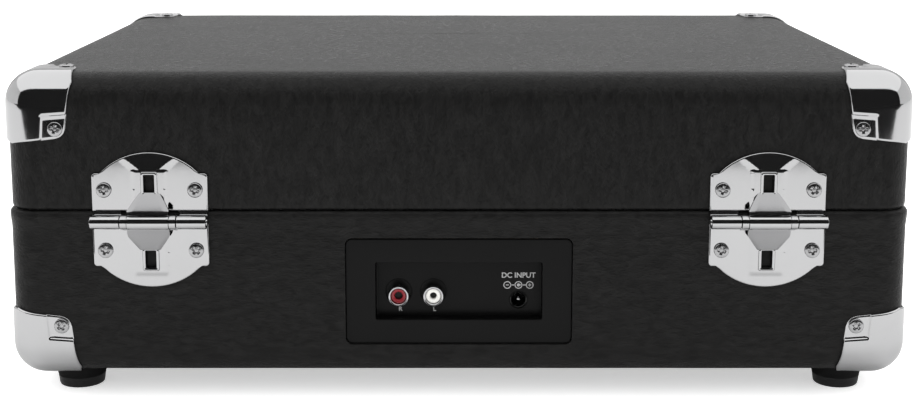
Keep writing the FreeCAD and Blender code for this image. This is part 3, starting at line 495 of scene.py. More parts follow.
def base_skin():
    low, high = BASE_LOW, BASE_HIGH
    rim = high.z + 0.15
    profile = [(8.1, 70.1), (8.1, 74.6), (7.75, 75.7), (7.1, rim), (1.4, rim), (0.4, rim - 0.35),
               (-0.25, rim - 1.2), (-0.4, rim - 2.4), (-0.3, rim - 4.0), (0, rim - 7.0)]
    profile += [(0, level) for level in (PANEL_TOP, 58, 50, 42, 34, 28, PANEL_BOTTOM)]
    for tick in range(9):
        angle = tick * math.pi / 16
        profile.append((EDGE_R * (1 - math.cos(angle)), low.z + EDGE_R * (1 - math.sin(angle))))
    profile += [(step, low.z) for step in (25, 60, 110)]
    rings = [case_ring(low, high, step, level) for step, level in profile]
    spots, faces = loft(rings, cap_last=True)

    def in_panel(face):
        middle = sum((Vector(spots[index]) for index in face), Vector()) / len(face)
        return (middle.y > BACK - 1 and abs(middle.x) < PANEL_HALF
                and PANEL_BOTTOM < middle.z < PANEL_TOP)

    faces = [face for face in faces if not in_panel(face)]
    frame_loop = rectangle(-PANEL_HALF, PANEL_HALF, PANEL_BOTTOM, PANEL_TOP, 2.8, 8)
    lip = stepped(frame_loop, OUT_BACK, (0, BACK, 0), [(0, 0), (0.1, -0.25), (0.1, -3.4)])
    webs = []
    for index, (x, y) in enumerate(rectangle(-PANEL_HALF, PANEL_HALF, PANEL_BOTTOM, PANEL_TOP)):
        arc = frame_loop[index * 9:index * 9 + 9]
        webs.append(([placed(OUT_BACK, (0, BACK, 0), *spot, 0) for spot in [(x, y)] + arc],
                     [(0, step, step + 1) for step in range(1, 9)]))
    wavy = [ripple(Vector(spot)) if not (abs(spot[1] - BACK) < 0.01 and abs(spot[0]) < PANEL_HALF + 0.5
                                         and PANEL_BOTTOM - 0.5 < spot[2] < PANEL_TOP + 0.5) else spot
            for spot in spots]
    make("base_skin", "case", "leatherette", [(wavy, faces), lip] + webs, BASE_GRAIN, 50,
         ["base_leatherette"], False)


def lid_skin():
    low, high = LID_LOW, LID_HIGH
    rim = low.z - 0.12
    profile = [(8.1, rim + 2.4), (8.1, rim + 1.0), (7.7, rim + 0.25), (7.1, rim), (1.3, rim)]
    profile += [(0.45, rim + 0.3), (0.1, rim + 1.0), (0, rim + 2.2)]
    profile += [(0, level) for level in (84, 92, 100, 108, high.z - EDGE_R)]
    for tick in range(1, 9):
        angle = tick * math.pi / 16
        profile.append((EDGE_R * (1 - math.cos(angle)), high.z - EDGE_R * (1 - math.sin(angle))))
    profile += [(step, high.z) for step in (18, 30, 46, 64, 84, 105)]
    rings = [case_ring(low, high, step, level) for step, level in profile]
    spots, faces = loft(rings, cap_last=True)
    make("lid_skin", "lid", "leatherette", [([ripple(Vector(spot)) for spot in spots], faces)], None, 50,
         ["lid_leatherette"], False)


# ---------------------------------------------------------------- corner guards
GUARD_LEG = 27.0
GUARD_SLOPE = 0.12
GUARD_CORNER = 4.0
PAD_START = 16.6
PAD_DEPTH = 0.62
SHEET = 0.35
EDGE_ROLL = 0.7


def guard_stops():
    """Places along a guard's leg, close together where it bends or steps."""
    stops = [EDGE_R * tick / 8 for tick in range(9)]
    stops += [14, 15.6, PAD_START, PAD_START + 0.25, PAD_START + 0.6, PAD_START + 0.9, 19, 21, 23, 24.8]
    stops += [GUARD_LEG - step for step in (EDGE_ROLL * 1.6, EDGE_ROLL, 0.45, 0.25, 0.1, 0)]
    return stops


def guard_height(first, second):
    """How far the sheet stands off the cloth, from the places along both legs."""
    roll = min(1.0, (GUARD_LEG - max(first, second)) / EDGE_ROLL)
    height = GUARD_T * math.sqrt(max(0.0, 1 - (1 - roll) ** 2))
    step = smooth_step((min(first, second) - PAD_START) / 0.8)
    return SHEET + max(0.0, height - SHEET - PAD_DEPTH * step)


def corner_rounding(first, second):
    """Pulls the far corner of a flange's square in to an arc."""
    far = GUARD_LEG - GUARD_CORNER
    over_a, over_b = first - far, second - far
    if over_a <= 0 or over_b <= 0:
        return first, second
    scale = max(over_a, over_b) / math.hypot(over_a, over_b)
    return far + over_a * scale, far + over_b * scale


def guard_spot(first, second, turn):
    """A spot of the guard's sheet: two places along the legs of one flange, the corner at the origin and the
    case towards plus on all three axes."""
    height = guard_height(first, second)
    a, b = corner_rounding(first, second)
    lean = GUARD_SLOPE / GUARD_LEG
    shrink = 1 - lean * lean * a * b
    flat = [0.0, 0.0, 0.0]
    flat[(turn + 1) % 3] = a * (1 - lean * b) / shrink
    flat[(turn + 2) % 3] = b * (1 - lean * a) / shrink
    point = Vector(flat)
    heart = Vector(max(value, EDGE_R) for value in point)
    away = point - heart
    return heart + away.normalized() * (EDGE_R + height)


def guard():
    parts = []
    stops = guard_stops()
    for turn in range(3):
        rows = [[guard_spot(first, second, turn) for first in stops] for second in stops]
        parts.append(loft(rows, closed=False))
    return parts


def place_corner(parts, x_side, y_side, box_low, box_high, upside_down):
    """Moves a corner's parts from the origin to one corner of the case."""
    corner = Vector((box_high.x if x_side > 0 else box_low.x, box_high.y if y_side > 0 else box_low.y,
                     box_high.z if upside_down else box_low.z))
    z_side = 1 if upside_down else -1
    flip = Vector((-x_side, -y_side, -z_side))
    odd = x_side * y_side * z_side > 0
    done = []
    for spots, faces in parts:
        there = [corner + Vector(a * b for a, b in zip(spot, flip)) for spot in spots]
        done.append((there, [tuple(reversed(face)) if odd else face for face in faces]))
    return done


def corner_guards(name, body, node, low, high, upside_down):
    parts = []
    sheet = guard()
    for x_side in (-1, 1):
        for y_side in (-1, 1):
            parts += place_corner(sheet, x_side, y_side, low, high, upside_down)
    item = make(name, body, "chrome", parts, MATERIALS["chrome"], 40, [node], False)
    solid = item.modifiers.new("sheet", "SOLIDIFY")
    solid.thickness = 0.3 * MM
    solid.offset = -1
    return item


# ---------------------------------------------------------------- screws
HEAD_R = 2.9
HEAD_H = 1.35
HEAD_STEPS = 48
CROSS_ARM = 1.75
CROSS_HALF = 0.42
CROSS_DEEP = 0.95


def screw_parts():
    """A pan head with a cross recess, looking up from the origin: a grid of rings whose inner part dips."""
    rings = []
    radii = [HEAD_R, HEAD_R, 2.82, 2.6, 2.25, 1.95, 1.75, 1.55, 1.3, 1.05, 0.85, 0.7, 0.55, 0.4, 0.2, 0.0]
    for index, radius in enumerate(radii):
        ring = []
        for step in range(HEAD_STEPS):
            angle = 2 * math.pi * step / HEAD_STEPS
            x, y = radius * math.cos(angle), radius * math.sin(angle)
            dome = HEAD_H - 0.055 * radius * radius - (0.25 if index == 1 else 0.08 if index == 2 else 0)
            if index == 0:
                dome = 0.0
            reach = max(abs(x), abs(y))
            width = min(abs(x), abs(y))
            arm = min(1.0, max(0.0, (CROSS_ARM - reach) / 0.25))
            inside = min(1.0, max(0.0, (CROSS_HALF + 0.12 - width) / 0.14))
            heart = min(1.0, max(0.0, (0.95 - math.hypot(x, y)) / 0.2))
            dip = CROSS_DEEP * max(arm * inside * (1 - 0.35 * reach / CROSS_ARM), heart)
            ring.append(Vector((x, y, dome - dip)))
        rings.append(ring)
    return loft(rings)


SCREW = screw_parts()


def screw_at(facing, centre, turn):
    outward, across, up = FACINGS[facing]
    cosine, sine = math.cos(turn), math.sin(turn)

    def change(spot):
        x, y = spot.x * cosine - spot.y * sine, spot.x * sine + spot.y * cosine
        return Vector(centre) + across * x + up * y + outward * spot.z

    return moved(SCREW, change)


def guard_screws(low, high, upside_down, count):
    """Screw heads in the pads of four corner guards."""
    parts = []
    seat = GUARD_T - PAD_DEPTH
    level = high.z - SCREW_IN if upside_down else low.z + SCREW_IN
    for x_side in (-1, 1):
        for y_side in (-1, 1):
            x_in, x_out = x_side * (high.x - SCREW_IN), x_side * (high.x + seat)
            y_mid = (low.y + high.y) / 2
            y_in = y_mid + y_side * ((high.y - low.y) / 2 - SCREW_IN)
            y_out = y_mid + y_side * ((high.y - low.y) / 2 + seat)
            parts.append(screw_at("+x" if x_side > 0 else "-x", (x_out, y_in, level), 0.4 + count))
            parts.append(screw_at("+y" if y_side > 0 else "-y", (x_in, y_out, level), 0.9 + 1.7 * count))
            if upside_down:
                parts.append(screw_at("+z", (x_in, y_in, high.z + seat), 0.2 + count))
            count += 0.83
    return parts


HINGE_SCREW_X, HINGE_SCREW_Z = 17.5, 11.8
LATCH_SCREW_X, CATCH_SCREW_X, CATCH_SCREW_Z = 16, 9, 17.4
HANGER_SCREW_Z = 13
PLATE_T = 1.2
HANGER_T = 1.5


def all_screws():
    base = guard_screws(BASE_LOW, BASE_HIGH, False, 0.1)
    lid = guard_screws(LID_LOW, LID_HIGH, True, 0.5)
    latch_y, catch_y, catch_z = FRONT - PLATE_T, LID_LOW.y - PLATE_T, LID_LOW.z + CATCH_SCREW_Z
    for side in (-1, 1):
        for step, turn in ((-HINGE_SCREW_X, 0.35), (HINGE_SCREW_X, 0.75)):
            x = side * HINGE_X + step
            base.append(screw_at(OUT_BACK, (x, BACK + LEAF_T, PIN.z - HINGE_SCREW_Z), turn * side + 0.5))
            lid.append(screw_at(OUT_BACK, (x, LID_HIGH.y + LEAF_T, PIN.z + HINGE_SCREW_Z), turn + side))
        x = side * LATCH_X
        for step in (-LATCH_SCREW_X, LATCH_SCREW_X):
            base.append(screw_at(OUT_FRONT, (x + step, latch_y, LATCH_Z - 1), step + side))
        for step in (-CATCH_SCREW_X, CATCH_SCREW_X):
            lid.append(screw_at(OUT_FRONT, (x + step, catch_y, catch_z), step * side))
        for step in (-HANGER_SCREW_Z, HANGER_SCREW_Z):
            place = (side * HANDLE_X, FRONT - HANGER_T, HANDLE.z + step)
            base.append(screw_at(OUT_FRONT, place, step + 2 * side))
    make("base_screw_heads", "case", "chrome", base, MATERIALS["screws"], 40, ["base_case_screws"], False)
    make("lid_screw_heads", "lid", "chrome", lid, MATERIALS["screws"], 40, ["lid_case_screws"], False)


# ---------------------------------------------------------------- hinges
LEAF_T = 1.2
LEAF_R = 26.5
LEAF_HALF = 22.35
ARC_HALF = 19.2
SHOULDER = 18.3
SLOT_HALF = 1.8
BARREL_R = 2.75
LEAF_EDGE = 0.65
FLAP_T = 0.8


def leaf_outline(sign, start):
    """Half of a hinge plate from the pin outward: sign 1 is the upper leaf, -1 the lower one."""
    arc_from = math.atan2(SHOULDER - 0.5, ARC_HALF - 0.3)
    shoulder = [(LEAF_HALF, start), (LEAF_HALF, SHOULDER), (ARC_HALF, SHOULDER)]
    points = rounded_outline(shoulder, [0, 1.4, 0], 5)
    for tick in range(25):
        angle = arc_from + (math.pi - 2 * arc_from) * tick / 24
        points.append((LEAF_R * math.cos(angle), LEAF_R * math.sin(angle)))
    points += rounded_outline([(-x, y) for x, y in reversed(shoulder)], [0, 1.4, 0], 5)
    outline = [(x, sign * y) for x, y in points]
    return outline if sign > 0 else outline[::-1]


def leaf_lift(sign):
    """The pressed channel down a leaf, as a height over its face.
    The upper one fades in a wide slope to its rim."""
    height = 0.6

    def lift(x, y):
        out = sign * y
        channel = smooth_step((6.9 - abs(x)) / 1.2)
        if sign < 0:
            return height * channel * smooth_step((22.5 - out) / 2.5)
        fan = smooth_step((5.5 + 1.1 * (out - 18) - abs(x)) / 4)
        fade = min(1.0, max(0.0, (26.2 - out) / 7.2))
        slope = fan * fade * smooth_step((out - 16.5) / 2.5)
        return height * max(channel * smooth_step((20.5 - out) / 1.5), slope)

    return lift


def slot_frame(centre, sign, face, near, far):
    """The bevelled frame round a leaf's slot, on top of the channel."""
    rings = []
    section = [(0, 0.1), (0.05, 0.55), (0.25, 1.0), (0.5, 1.15), (0.78, 1.0), (0.95, 0.6), (1, 0.3),
               (1, -1.0)]
    for share, height in section:
        grow = 1 - share
        loop = rectangle(-SLOT_HALF - 1.6 * grow, SLOT_HALF + 1.6 * grow, near - 1.0 * grow, far + 1.5 * grow,
                         0.25 + 0.65 * grow, 4)
        rings.append([placed(OUT_BACK, (centre, face, PIN.z), x, sign * y, LEAF_T + height) for x, y in loop])
    return loft(rings)


def leaf_parts(side, sign, face, start, near, far):
    centre = side * HINGE_X
    slot = rectangle(-SLOT_HALF, SLOT_HALF, near, far, 0.25, 4)
    slot = [(x, sign * y) for x, y in slot]
    outline = leaf_outline(sign, start)
    holes = [slot if sign > 0 else slot[::-1]]
    place = (centre, face, PIN.z)
    parts = plate(outline, holes, OUT_BACK, place, -0.1, LEAF_T, LEAF_EDGE, leaf_lift(sign))
    parts.append(slot_frame(centre, sign, face, near, far))
    return parts


def barrel(centre, start, end, radius):
    """A rolled barrel along x with soft rims."""
    rim = 0.35
    profile = [(0.0, start), (radius - rim, start), (radius - 0.1, start + 0.12), (radius, start + rim),
               (radius, end - rim), (radius - 0.1, end - 0.12), (radius - rim, end), (0.0, end)]
    return lathe(profile, "+x", (centre, PIN.y, PIN.z), 40)


def prism(outline, centre, start, end):
    """A (y, z) outline run along x."""
    rings = [[Vector((centre + x, y, z)) for y, z in outline] for x in (start, end)]
    return loft(rings, True, True)


def flap(side, points, thick):
    """A bent cover sheet: rows of half width and (y, z) steps from the pin, from its root to its tip."""
    centre = side * HINGE_X
    rings = []
    for half, out, up in points:
        ring = []
        for tick in range(13):
            share = tick / 12 * 2 - 1
            edge = 0.35 * max(0.0, abs(share) - 0.86) / 0.14
            ring.append(Vector((centre + half * share, PIN.y + out - edge, PIN.z + up)))
        rings.append(ring)
    front = loft(rings, closed=False)
    back_rings = [[spot - Vector((0, thick, 0)) for spot in ring] for ring in rings]
    rear = loft(back_rings, closed=False)
    border = [ring[0] for ring in rings] + rings[-1][1:] + [ring[-1] for ring in reversed(rings[:-1])]
    border += list(reversed(rings[0][1:-1]))
    rim = loft([border, [spot - Vector((0, thick, 0)) for spot in border]])
    return [front, rear, rim]


LID_FLAP = [(7.9, 2.2, 3.1), (8.0, 1.8, 3.9), (8.0, 1.35, 4.8), (6.0, -0.85, 7.9), (4.1, -2.75, 10.5),
            (3.9, -3.05, 10.9)]
BASE_FLAP = [(8.0, 2.2, -1.9), (8.0, 1.7, -3.4), (8.1, 1.35, -3.9), (7.9, 0.8, -5.6), (6.0, -0.4, -8.4),
             (4.2, -1.4, -10.9), (3.9, -1.7, -11.3)]


def hinges():
    lid_parts, base_parts, lid_flaps, base_flaps = [], [], [], []
    lid_face, base_face = LID_HIGH.y, BACK
    for side in (-1, 1):
        centre = side * HINGE_X
        lid_parts += leaf_parts(side, 1, lid_face, 3.5, 10.7, 17.6)
        base_parts += leaf_parts(side, -1, base_face, 1.0, 11.9, 18.5)
        for start, end in ((-22.2, -10.9), (10.9, 22.2)):
            lid_parts.append(barrel(centre, start, end, BARREL_R))
            curl = [(lid_face + 1.05, PIN.z + 3.6), (lid_face + 1.18, PIN.z + 3.6),
                    (lid_face + 1.4, PIN.z + 2.0), (PIN.y - 2.0, PIN.z + 1.4),
                    (PIN.y - 2.2, PIN.z + 0.1), (lid_face + 1.1, PIN.z + 0.9)]
            lid_parts.append(prism(curl, centre, start + 0.25, end - 0.25))
        for start, end in ((-10.7, -8.0), (8.0, 10.7)):
            base_parts.append(barrel(centre, start, end, BARREL_R + 0.12))
        base_parts.append(barrel(centre, -8.0, 8.0, BARREL_R + 0.35))
        web = [(base_face + 0.3, PIN.z - 4.6), (PIN.y - 1.0, PIN.z - 2.2), (PIN.y - 1.0, PIN.z),
               (base_face + 0.3, PIN.z - 2)]
        base_parts.append(prism(web, centre, -10.5, 10.5))
        lid_flaps += flap(side, LID_FLAP, FLAP_T)
        base_flaps += flap(side, BASE_FLAP, FLAP_T)
        for end_side in (-1, 1):
            lid_parts.append(lathe([(0, 0), (1.5, 0), (1.35, 0.4), (0.8, 0.62), (0, 0.68)],
                                   "+x" if end_side > 0 else "-x",
                                   (centre + end_side * 22.15, PIN.y, PIN.z), 20))
    # both covers take the darker hinge metal, a painted shade
    make("hinge_lid_covers", "lid", "chrome", lid_flaps, MATERIALS["hinge_cover_painted_shade"], 32)
    make("hinge_base_covers", "case", "chrome", base_flaps, MATERIALS["hinge_cover_painted_shade"], 32)
    make("hinge_lid_plates", "lid", "chrome", lid_parts, MATERIALS["hinge_chrome"], 32, ["hinge_lid_leaves"])
    make("hinge_base_plates", "case", "chrome", base_parts, MATERIALS["hinge_chrome"], 32,
         ["hinge_base_leaves", "hinge_pins"])


# ---------------------------------------------------------------- jack panel
RCA_Z = (corners("rca_shells")[0].z + corners("rca_shells")[1].z) / 2
RED_X, WHITE_X = 23.6, 10.0
DC_X, DC_Z = -23.4, 39.0
WINDOW = (-32.4, 32.4, 32.8, 55.5)
PANEL_OUT = -1.2
FLOOR_OUT = -7.2


def jack_panel():
    centre = (0, BACK, 0)
    half = PANEL_HIGH.x
    outline = rectangle(-half, half, PANEL_LOW.z, PANEL_HIGH.z - 0.4, 2.6, 8)
    window = [(-x, z) for x, z in rectangle(*WINDOW, 0.7, 4)][::-1]
    parts = []
    rings = [(0, -3.0), (0, PANEL_OUT - 0.45), (0.13, PANEL_OUT - 0.13), (0.45, PANEL_OUT)]
    parts.append(stepped(outline, OUT_BACK, centre, rings))
    parts.append(flat_fill([inset(outline, 0.45), inset(window, -0.5)], OUT_BACK, centre, PANEL_OUT))
    walls = [(-0.5, PANEL_OUT), (-0.15, PANEL_OUT - 0.12), (0, PANEL_OUT - 0.5), (0, FLOOR_OUT + 0.4),
             (0.15, FLOOR_OUT + 0.1), (0.4, FLOOR_OUT)]
    parts.append(stepped(window, OUT_BACK, centre, walls))
    holes = [circle(-RED_X, RCA_Z + 0.9, 5.0), circle(-WHITE_X, RCA_Z + 0.9, 5.0), circle(-DC_X, DC_Z, 3.35)]
    parts.append(flat_fill([inset(window, 0.4)] + holes, OUT_BACK, centre, FLOOR_OUT))
    for hole in holes:
        levels = [(-0.4, FLOOR_OUT - 0.02), (-0.3, FLOOR_OUT + 0.14), (-0.12, FLOOR_OUT + 0.16),
                  (0, FLOOR_OUT), (0, FLOOR_OUT - 1.5)]
        parts.append(stepped(hole, OUT_BACK, centre, levels))
    make("jack_panel_moulding", "case", "black_plastic", parts, MATERIALS["panel_black"], 30, ["jack_panel"])


def sockets():
    shells, shade_discs = [], []
    for x in (RED_X, WHITE_X):
        centre = (x, BACK + FLOOR_OUT, RCA_Z)
        shell = [(3.0, 0), (4.15, 0), (4.15, 3.8), (4.05, 4.25), (3.8, 4.5), (3.45, 4.45), (3.15, 4.2),
                 (3.0, 3.7), (3.0, 0)]
        shells.append(lathe(shell, OUT_BACK, centre, 48))
        # painted shade: black discs close the back of each socket hole and the bottom of each insulator bore,
        # standing in for the shade deep inside them
        shade_discs.append(lathe([(6.2, -1.45), (0, -1.45)], OUT_BACK, centre, 40))
        shade_discs.append(lathe([(2.3, 1.2), (0, 1.2)], OUT_BACK, centre, 24))
    make("rca_rings", "case", "zinc", shells, MATERIALS["socket_metal"], 40, ["rca_shells"])
    make("socket_shade_caps", "case", "black_plastic", shade_discs, MATERIALS["black_plastic"], 30, [])
    for colour, x, bore in (("red", RED_X, 1.6), ("white", WHITE_X, 1.35)):
        centre = (x, BACK + FLOOR_OUT, RCA_Z)
        profile = [(2.98, -1.4), (2.98, 3.0), (2.8, 3.3), (2.5, 3.35)]
        profile += [(bore + 0.3, 3.15), (bore, 2.8), (bore, 1.0)]
        ring = lathe(profile, OUT_BACK, centre, 40)
        make(f"{colour}_insulator", "case", f"{colour}_plastic", [ring], None, 40, [f"rca_insert_{colour}"])
    nose = [(3.3, -1.6), (3.3, -0.05), (3.0, 0.05), (2.75, -0.1), (2.6, -0.5), (2.55, -9.0), (0, -9.0)]
    make("power_socket", "case", "black_plastic", [lathe(nose, OUT_BACK, (DC_X, BACK + FLOOR_OUT, DC_Z), 40)],
         MATERIALS["gloss_plastic"], 40, ["dc_jack"])
    pin = [(0.95, -9.0), (0.95, -1.6), (0.75, -1.2), (0.4, -1.0), (0, -0.95)]
    make("power_pin", "case", "brass", [lathe(pin, OUT_BACK, (DC_X, BACK + FLOOR_OUT, DC_Z), 24)],
         MATERIALS["socket_metal"], 40)


def lettering(name, words, height, x, z):
    """Raised ink: plain words on the socket plate."""
    curve = bpy.data.curves.new(name, "FONT")
    curve.body = words
    curve.size = height / 0.7 * MM
    curve.align_x = "CENTER"
    curve.extrude = 0.03 * MM
    curve.offset = 0.05 * MM
    holder = bpy.data.objects.new(name + "_curve", curve)
    bpy.context.scene.collection.objects.link(holder)
    bpy.context.view_layer.update()
    mesh = bpy.data.meshes.new_from_object(holder.evaluated_get(bpy.context.evaluated_depsgraph_get()))
    bpy.data.objects.remove(holder)
    spots = [placed(OUT_BACK, (x, BACK + FLOOR_OUT, z), spot.co.x / MM, spot.co.y / MM, spot.co.z / MM + 0.06)
             for spot in mesh.vertices]
    return spots, [tuple(face.vertices) for face in mesh.polygons]


def ink_ring(x, z, radius, half):
    centre = (x, BACK + FLOOR_OUT, z)
    return lathe([(radius - half, 0.01), (radius - half, 0.07), (radius + half, 0.07), (radius + half, 0.01)],
                 OUT_BACK, centre, 32)


def ink_bar(x_low, x_high, z_low, z_high):
    outline = rectangle(x_low, x_high, z_low, z_high)
    centre = (0, BACK + FLOOR_OUT, 0)
    drawn = [(-x, z) for x, z in outline][::-1]
    rings = [[placed(OUT_BACK, centre, x, y, level) for x, y in drawn] for level in (0.01, 0.07)]
    return loft(rings, True, True)


def markings():
    parts = [lettering("r_mark", "R", 1.75, RED_X - 0.6, RCA_Z - 6.9),
             lettering("l_mark", "L", 1.75, WHITE_X - 0.4, RCA_Z - 6.9),
             lettering("dc_mark", "DC INPUT", 2.05, DC_X, DC_Z + 9.0)]
    line = DC_Z + 6.0
    gap, radius, half = 4.4, 1.35, 0.17
    for step in (-1, 0, 1):
        parts.append(ink_ring(DC_X + step * gap, line, radius, half))
    parts.append(lathe([(0.62, 0.01), (0.62, 0.07), (0, 0.07)], OUT_BACK, (DC_X, BACK + FLOOR_OUT, line), 24))
    parts.append(ink_bar(DC_X - gap + radius, DC_X - 0.5, line - half, line + half))
    parts.append(ink_bar(DC_X + radius, DC_X + gap - radius, line - half, line + half))
    parts.append(ink_bar(DC_X + gap - 0.6, DC_X + gap + 0.6, line - half, line + half))
    parts.append(ink_bar(DC_X - gap - 0.6, DC_X - gap + 0.6, line - half, line + half))
    parts.append(ink_bar(DC_X - gap - half, DC_X - gap + half, line - 0.6, line + 0.6))
    make("socket_markings", "case", "white_plastic", parts, MATERIALS["ink"], 30)


# ---------------------------------------------------------------- feet
def feet():
    low, high = corners("rubber_feet")
    centres = [(x, y) for x in (low.x + 10.5, high.x - 10.5) for y in (low.y + 10.5, high.y - 10.5)]
    profile = [(0, 1.4), (3.6, 1.4), (3.6, 0.5), (4.0, 0.0), (8.3, 0.0), (8.65, 0.12), (8.9, 0.45),
               (9.05, 1.2), (9.3, 3.2), (10.3, high.z - 0.3), (10.5, high.z), (0, high.z)]
    parts = [lathe(profile, "+z", (x, y, 0), 48) for x, y in centres]
    make("foot_rubbers", "case", "rubber", parts, None, 40, ["rubber_feet"])


# ---------------------------------------------------------------- latches
LATCH_X = 116.0
LATCH_Z = joint_place("left_latch_hinge").z
LATCH_Y = joint_place("left_latch_hinge").y
HANDLE_X = 48.0
HANDLE = joint_place("handle_swing")


def even_about(z, half):
    """A (y, z) outline from its lower half, given as (y, distance from z) with the tip last."""
    return [(y, z - away) for y, away in half] + [(y, z + away) for y, away in reversed(half[:-1])]


def latch_fittings():
    base_parts, lid_parts = [], []
    for side in (-1, 1):
        x = side * LATCH_X
        outline = rectangle(-20, 20, LATCH_Z - 6, BASE_HIGH.z - 3, 2.5, 6)
        base_parts += plate(outline, [], OUT_FRONT, (x, FRONT, 0), 0.05, PLATE_T, 0.35)
        for low, high in ((-12.6, -10.6), (10.6, 12.6)):
            ear = even_about(LATCH_Z, [(FRONT - 1.0, 2.6), (LATCH_Y - 0.4, 2.5), (LATCH_Y - 1.9, 1.5),
                                       (LATCH_Y - 2.2, 0)])
            base_parts.append(prism(ear, x, low, high))
        base_parts.append(lathe([(0, -12.9), (0.9, -12.9), (1.0, -12.7), (1.0, 12.7), (0.9, 12.9), (0, 12.9)],
                                "+x", (x, LATCH_Y, LATCH_Z), 20))
        outline = rounded_outline([(-14, LID_LOW.z + 1.5), (14, LID_LOW.z + 1.5), (14, LID_LOW.z + 15),
                                   (8, LID_LOW.z + 22), (-8, LID_LOW.z + 22), (-14, LID_LOW.z + 15)],
                                  [1.5, 1.5, 4, 3, 3, 4], 5)
        lid_parts += plate(outline, [], OUT_FRONT, (x, LID_LOW.y, 0), 0.05, PLATE_T, 0.35)
        lug = [(LID_LOW.y - out, z) for out, z in ((0.9, 81.6), (3.5, 81.7), (4.0, 82.3), (4.0, 83.6),
                                                   (3.4, 84.4), (0.9, 84.5))]
        lid_parts.append(prism(lug, x, -4, 4))
    make("latch_base_plates", "case", "chrome", base_parts, MATERIALS["hinge_chrome"], 32, ["latch_plates"])
    make("latch_lid_plates", "lid", "chrome", lid_parts, MATERIALS["hinge_chrome"], 32, ["latch_catches"])


def latch_lever(name, body, node, x):
    """A pressed lever with a rolled eye and a lifted finger edge, a few degrees off its catch."""
    lean = math.radians(5)
    width, length = 10.0, 32.0
    outline = rounded_outline([(-width, 0.5), (width, 0.5), (width, length - 5), (width - 4, length),
                               (4 - width, length), (-width, length - 5)], [0, 0, 4, 3, 3, 4], 6)
    window = rectangle(-5.5, 5.5, 81.5 - LATCH_Z - 2, 84.5 - LATCH_Z + 1, 1.0, 4)
    parts = plate(outline, [window], OUT_FRONT, (0, 0, 0), -0.8, 0.8, 0.4)
    boss = rectangle(-6.5, 6.5, 6.5, 21.0, 2.5, 5)
    steps = [(0, 0.75), (0.5, 0.95), (1.2, 1.3), (2.0, 1.4)]
    parts.append(stepped(boss, OUT_FRONT, (0, 0, 0), steps, True))
    parts.append(lathe([(1.05, -10), (1.8, -10), (1.9, -9.8), (1.9, 9.8), (1.8, 10), (1.05, 10), (1.05, -10)],
                       "+x", (0, 0, 0), 28))

    def swing(spot):
        y = spot.y * math.cos(lean) - spot.z * math.sin(lean)
        z = spot.y * math.sin(lean) + spot.z * math.cos(lean)
        return Vector((spot.x + x, y + LATCH_Y, z + LATCH_Z))

    make(name, body, "chrome", [moved(part, swing) for part in parts], MATERIALS["hinge_chrome"], 32, [node])


# ---------------------------------------------------------------- handle
def handle():
    """A stiff grip with a stitched cover between two straps, and the brackets that it hangs from."""
    drop = HANDLE.z - 26.0
    path = [(HANDLE_X, HANDLE.z + 3.4), (HANDLE_X, HANDLE.z + 1.6)]
    path += [(HANDLE_X, HANDLE.z - step) for step in (1.5, 4.5, 8, 12, 15.5)]
    bend = 9.0
    for tick in range(1, 7):
        angle = tick * math.pi / 12
        path.append((HANDLE_X - bend + bend * math.cos(angle), drop + bend - bend * math.sin(angle) - 1.0))
    path += [(35 - step * 3.9, drop - 0.2) for step in range(0, 9)]
    full = path + [(-x, z) for x, z in reversed(path)]
    rings = []
    count = len(full)
    for index, (x, z) in enumerate(full):
        before = Vector(full[max(index - 1, 0)])
        after = Vector(full[min(index + 1, count - 1)])
        along = (after - before).normalized()
        side = Vector((-along.y, along.x))
        reach = min(index, count - 1 - index)
        swell = smooth_step((reach - 8) / 7.0)
        taper = min(1.0, 0.55 + reach * 0.25)
        half_in = (4.1 + 2.9 * swell) * taper
        half_y = (3.3 + 3.9 * swell) * min(1.0, 0.8 + reach * 0.1)
        ring = []
        for step in range(28):
            angle = 2 * math.pi * step / 28
            power = 0.75
            cosine, sine = math.cos(angle), math.sin(angle)
            across = math.copysign(abs(cosine) ** power, cosine) * half_in
            depth = math.copysign(abs(sine) ** power, sine) * half_y
            ring.append(Vector((x + side.x * across, HANDLE.y + depth, z + side.y * across)))
        rings.append(ring)
    spots, faces = loft(rings, True, True)
    creased = [ripple(Vector(spot), 0.12, 0.09) for spot in spots]
    make("handle_cover", "handle", "leatherette", [(creased, faces)], MATERIALS["handle_grain"], 50,
         ["handle_grip"])
    thread = []
    for step in range(-9, 10):
        for y_side in (-1, 1):
            x = step * 3.6
            bulge = 5.4 if abs(x) < 24 else 5.4 - (abs(x) - 24) * 0.16
            centre = Vector((x, HANDLE.y + y_side * bulge, drop - 4.6))
            profile = [(0, -1.2), (0.28, -1.1), (0.36, -0.7), (0.36, 0.7), (0.28, 1.1), (0, 1.2)]
            thread.append(lathe(profile, "+x", centre, 10))
    make("handle_thread", "handle", "rubber", thread, MATERIALS["thread"], 40)
    parts = []
    for side in (-1, 1):
        x = side * HANDLE_X
        outline = rectangle(-8, 8, HANDLE.z - 17, HANDLE.z + 17, 3.5, 6)
        parts += plate(outline, [], OUT_FRONT, (x, FRONT, 0), 0.05, HANGER_T, 0.4)
        for low, high in ((-7, -5), (5, 7)):
            lug = even_about(HANDLE.z, [(FRONT - 1.2, 5.5), (HANDLE.y, 3.0), (HANDLE.y - 2.2, 2.1),
                                        (HANDLE.y - 3.0, 0)])
            parts.append(prism(lug, x, low, high))
        pin = [(0, -7.6), (1.8, -7.6), (2.3, -7.2), (2.3, -7.0), (1.95, -7.0)]
        pin += [(radius, -reach) for radius, reach in reversed(pin)]
        parts.append(lathe(pin, "+x", (x, HANDLE.y, HANDLE.z), 24))
    make("handle_hangers", "case", "chrome", parts, MATERIALS["hinge_chrome"], 32, ["handle_brackets"])


# ---------------------------------------------------------------- inside the case
SPINDLE = joint_place("platter_spin")
MAT_HOLE_R = 4.2


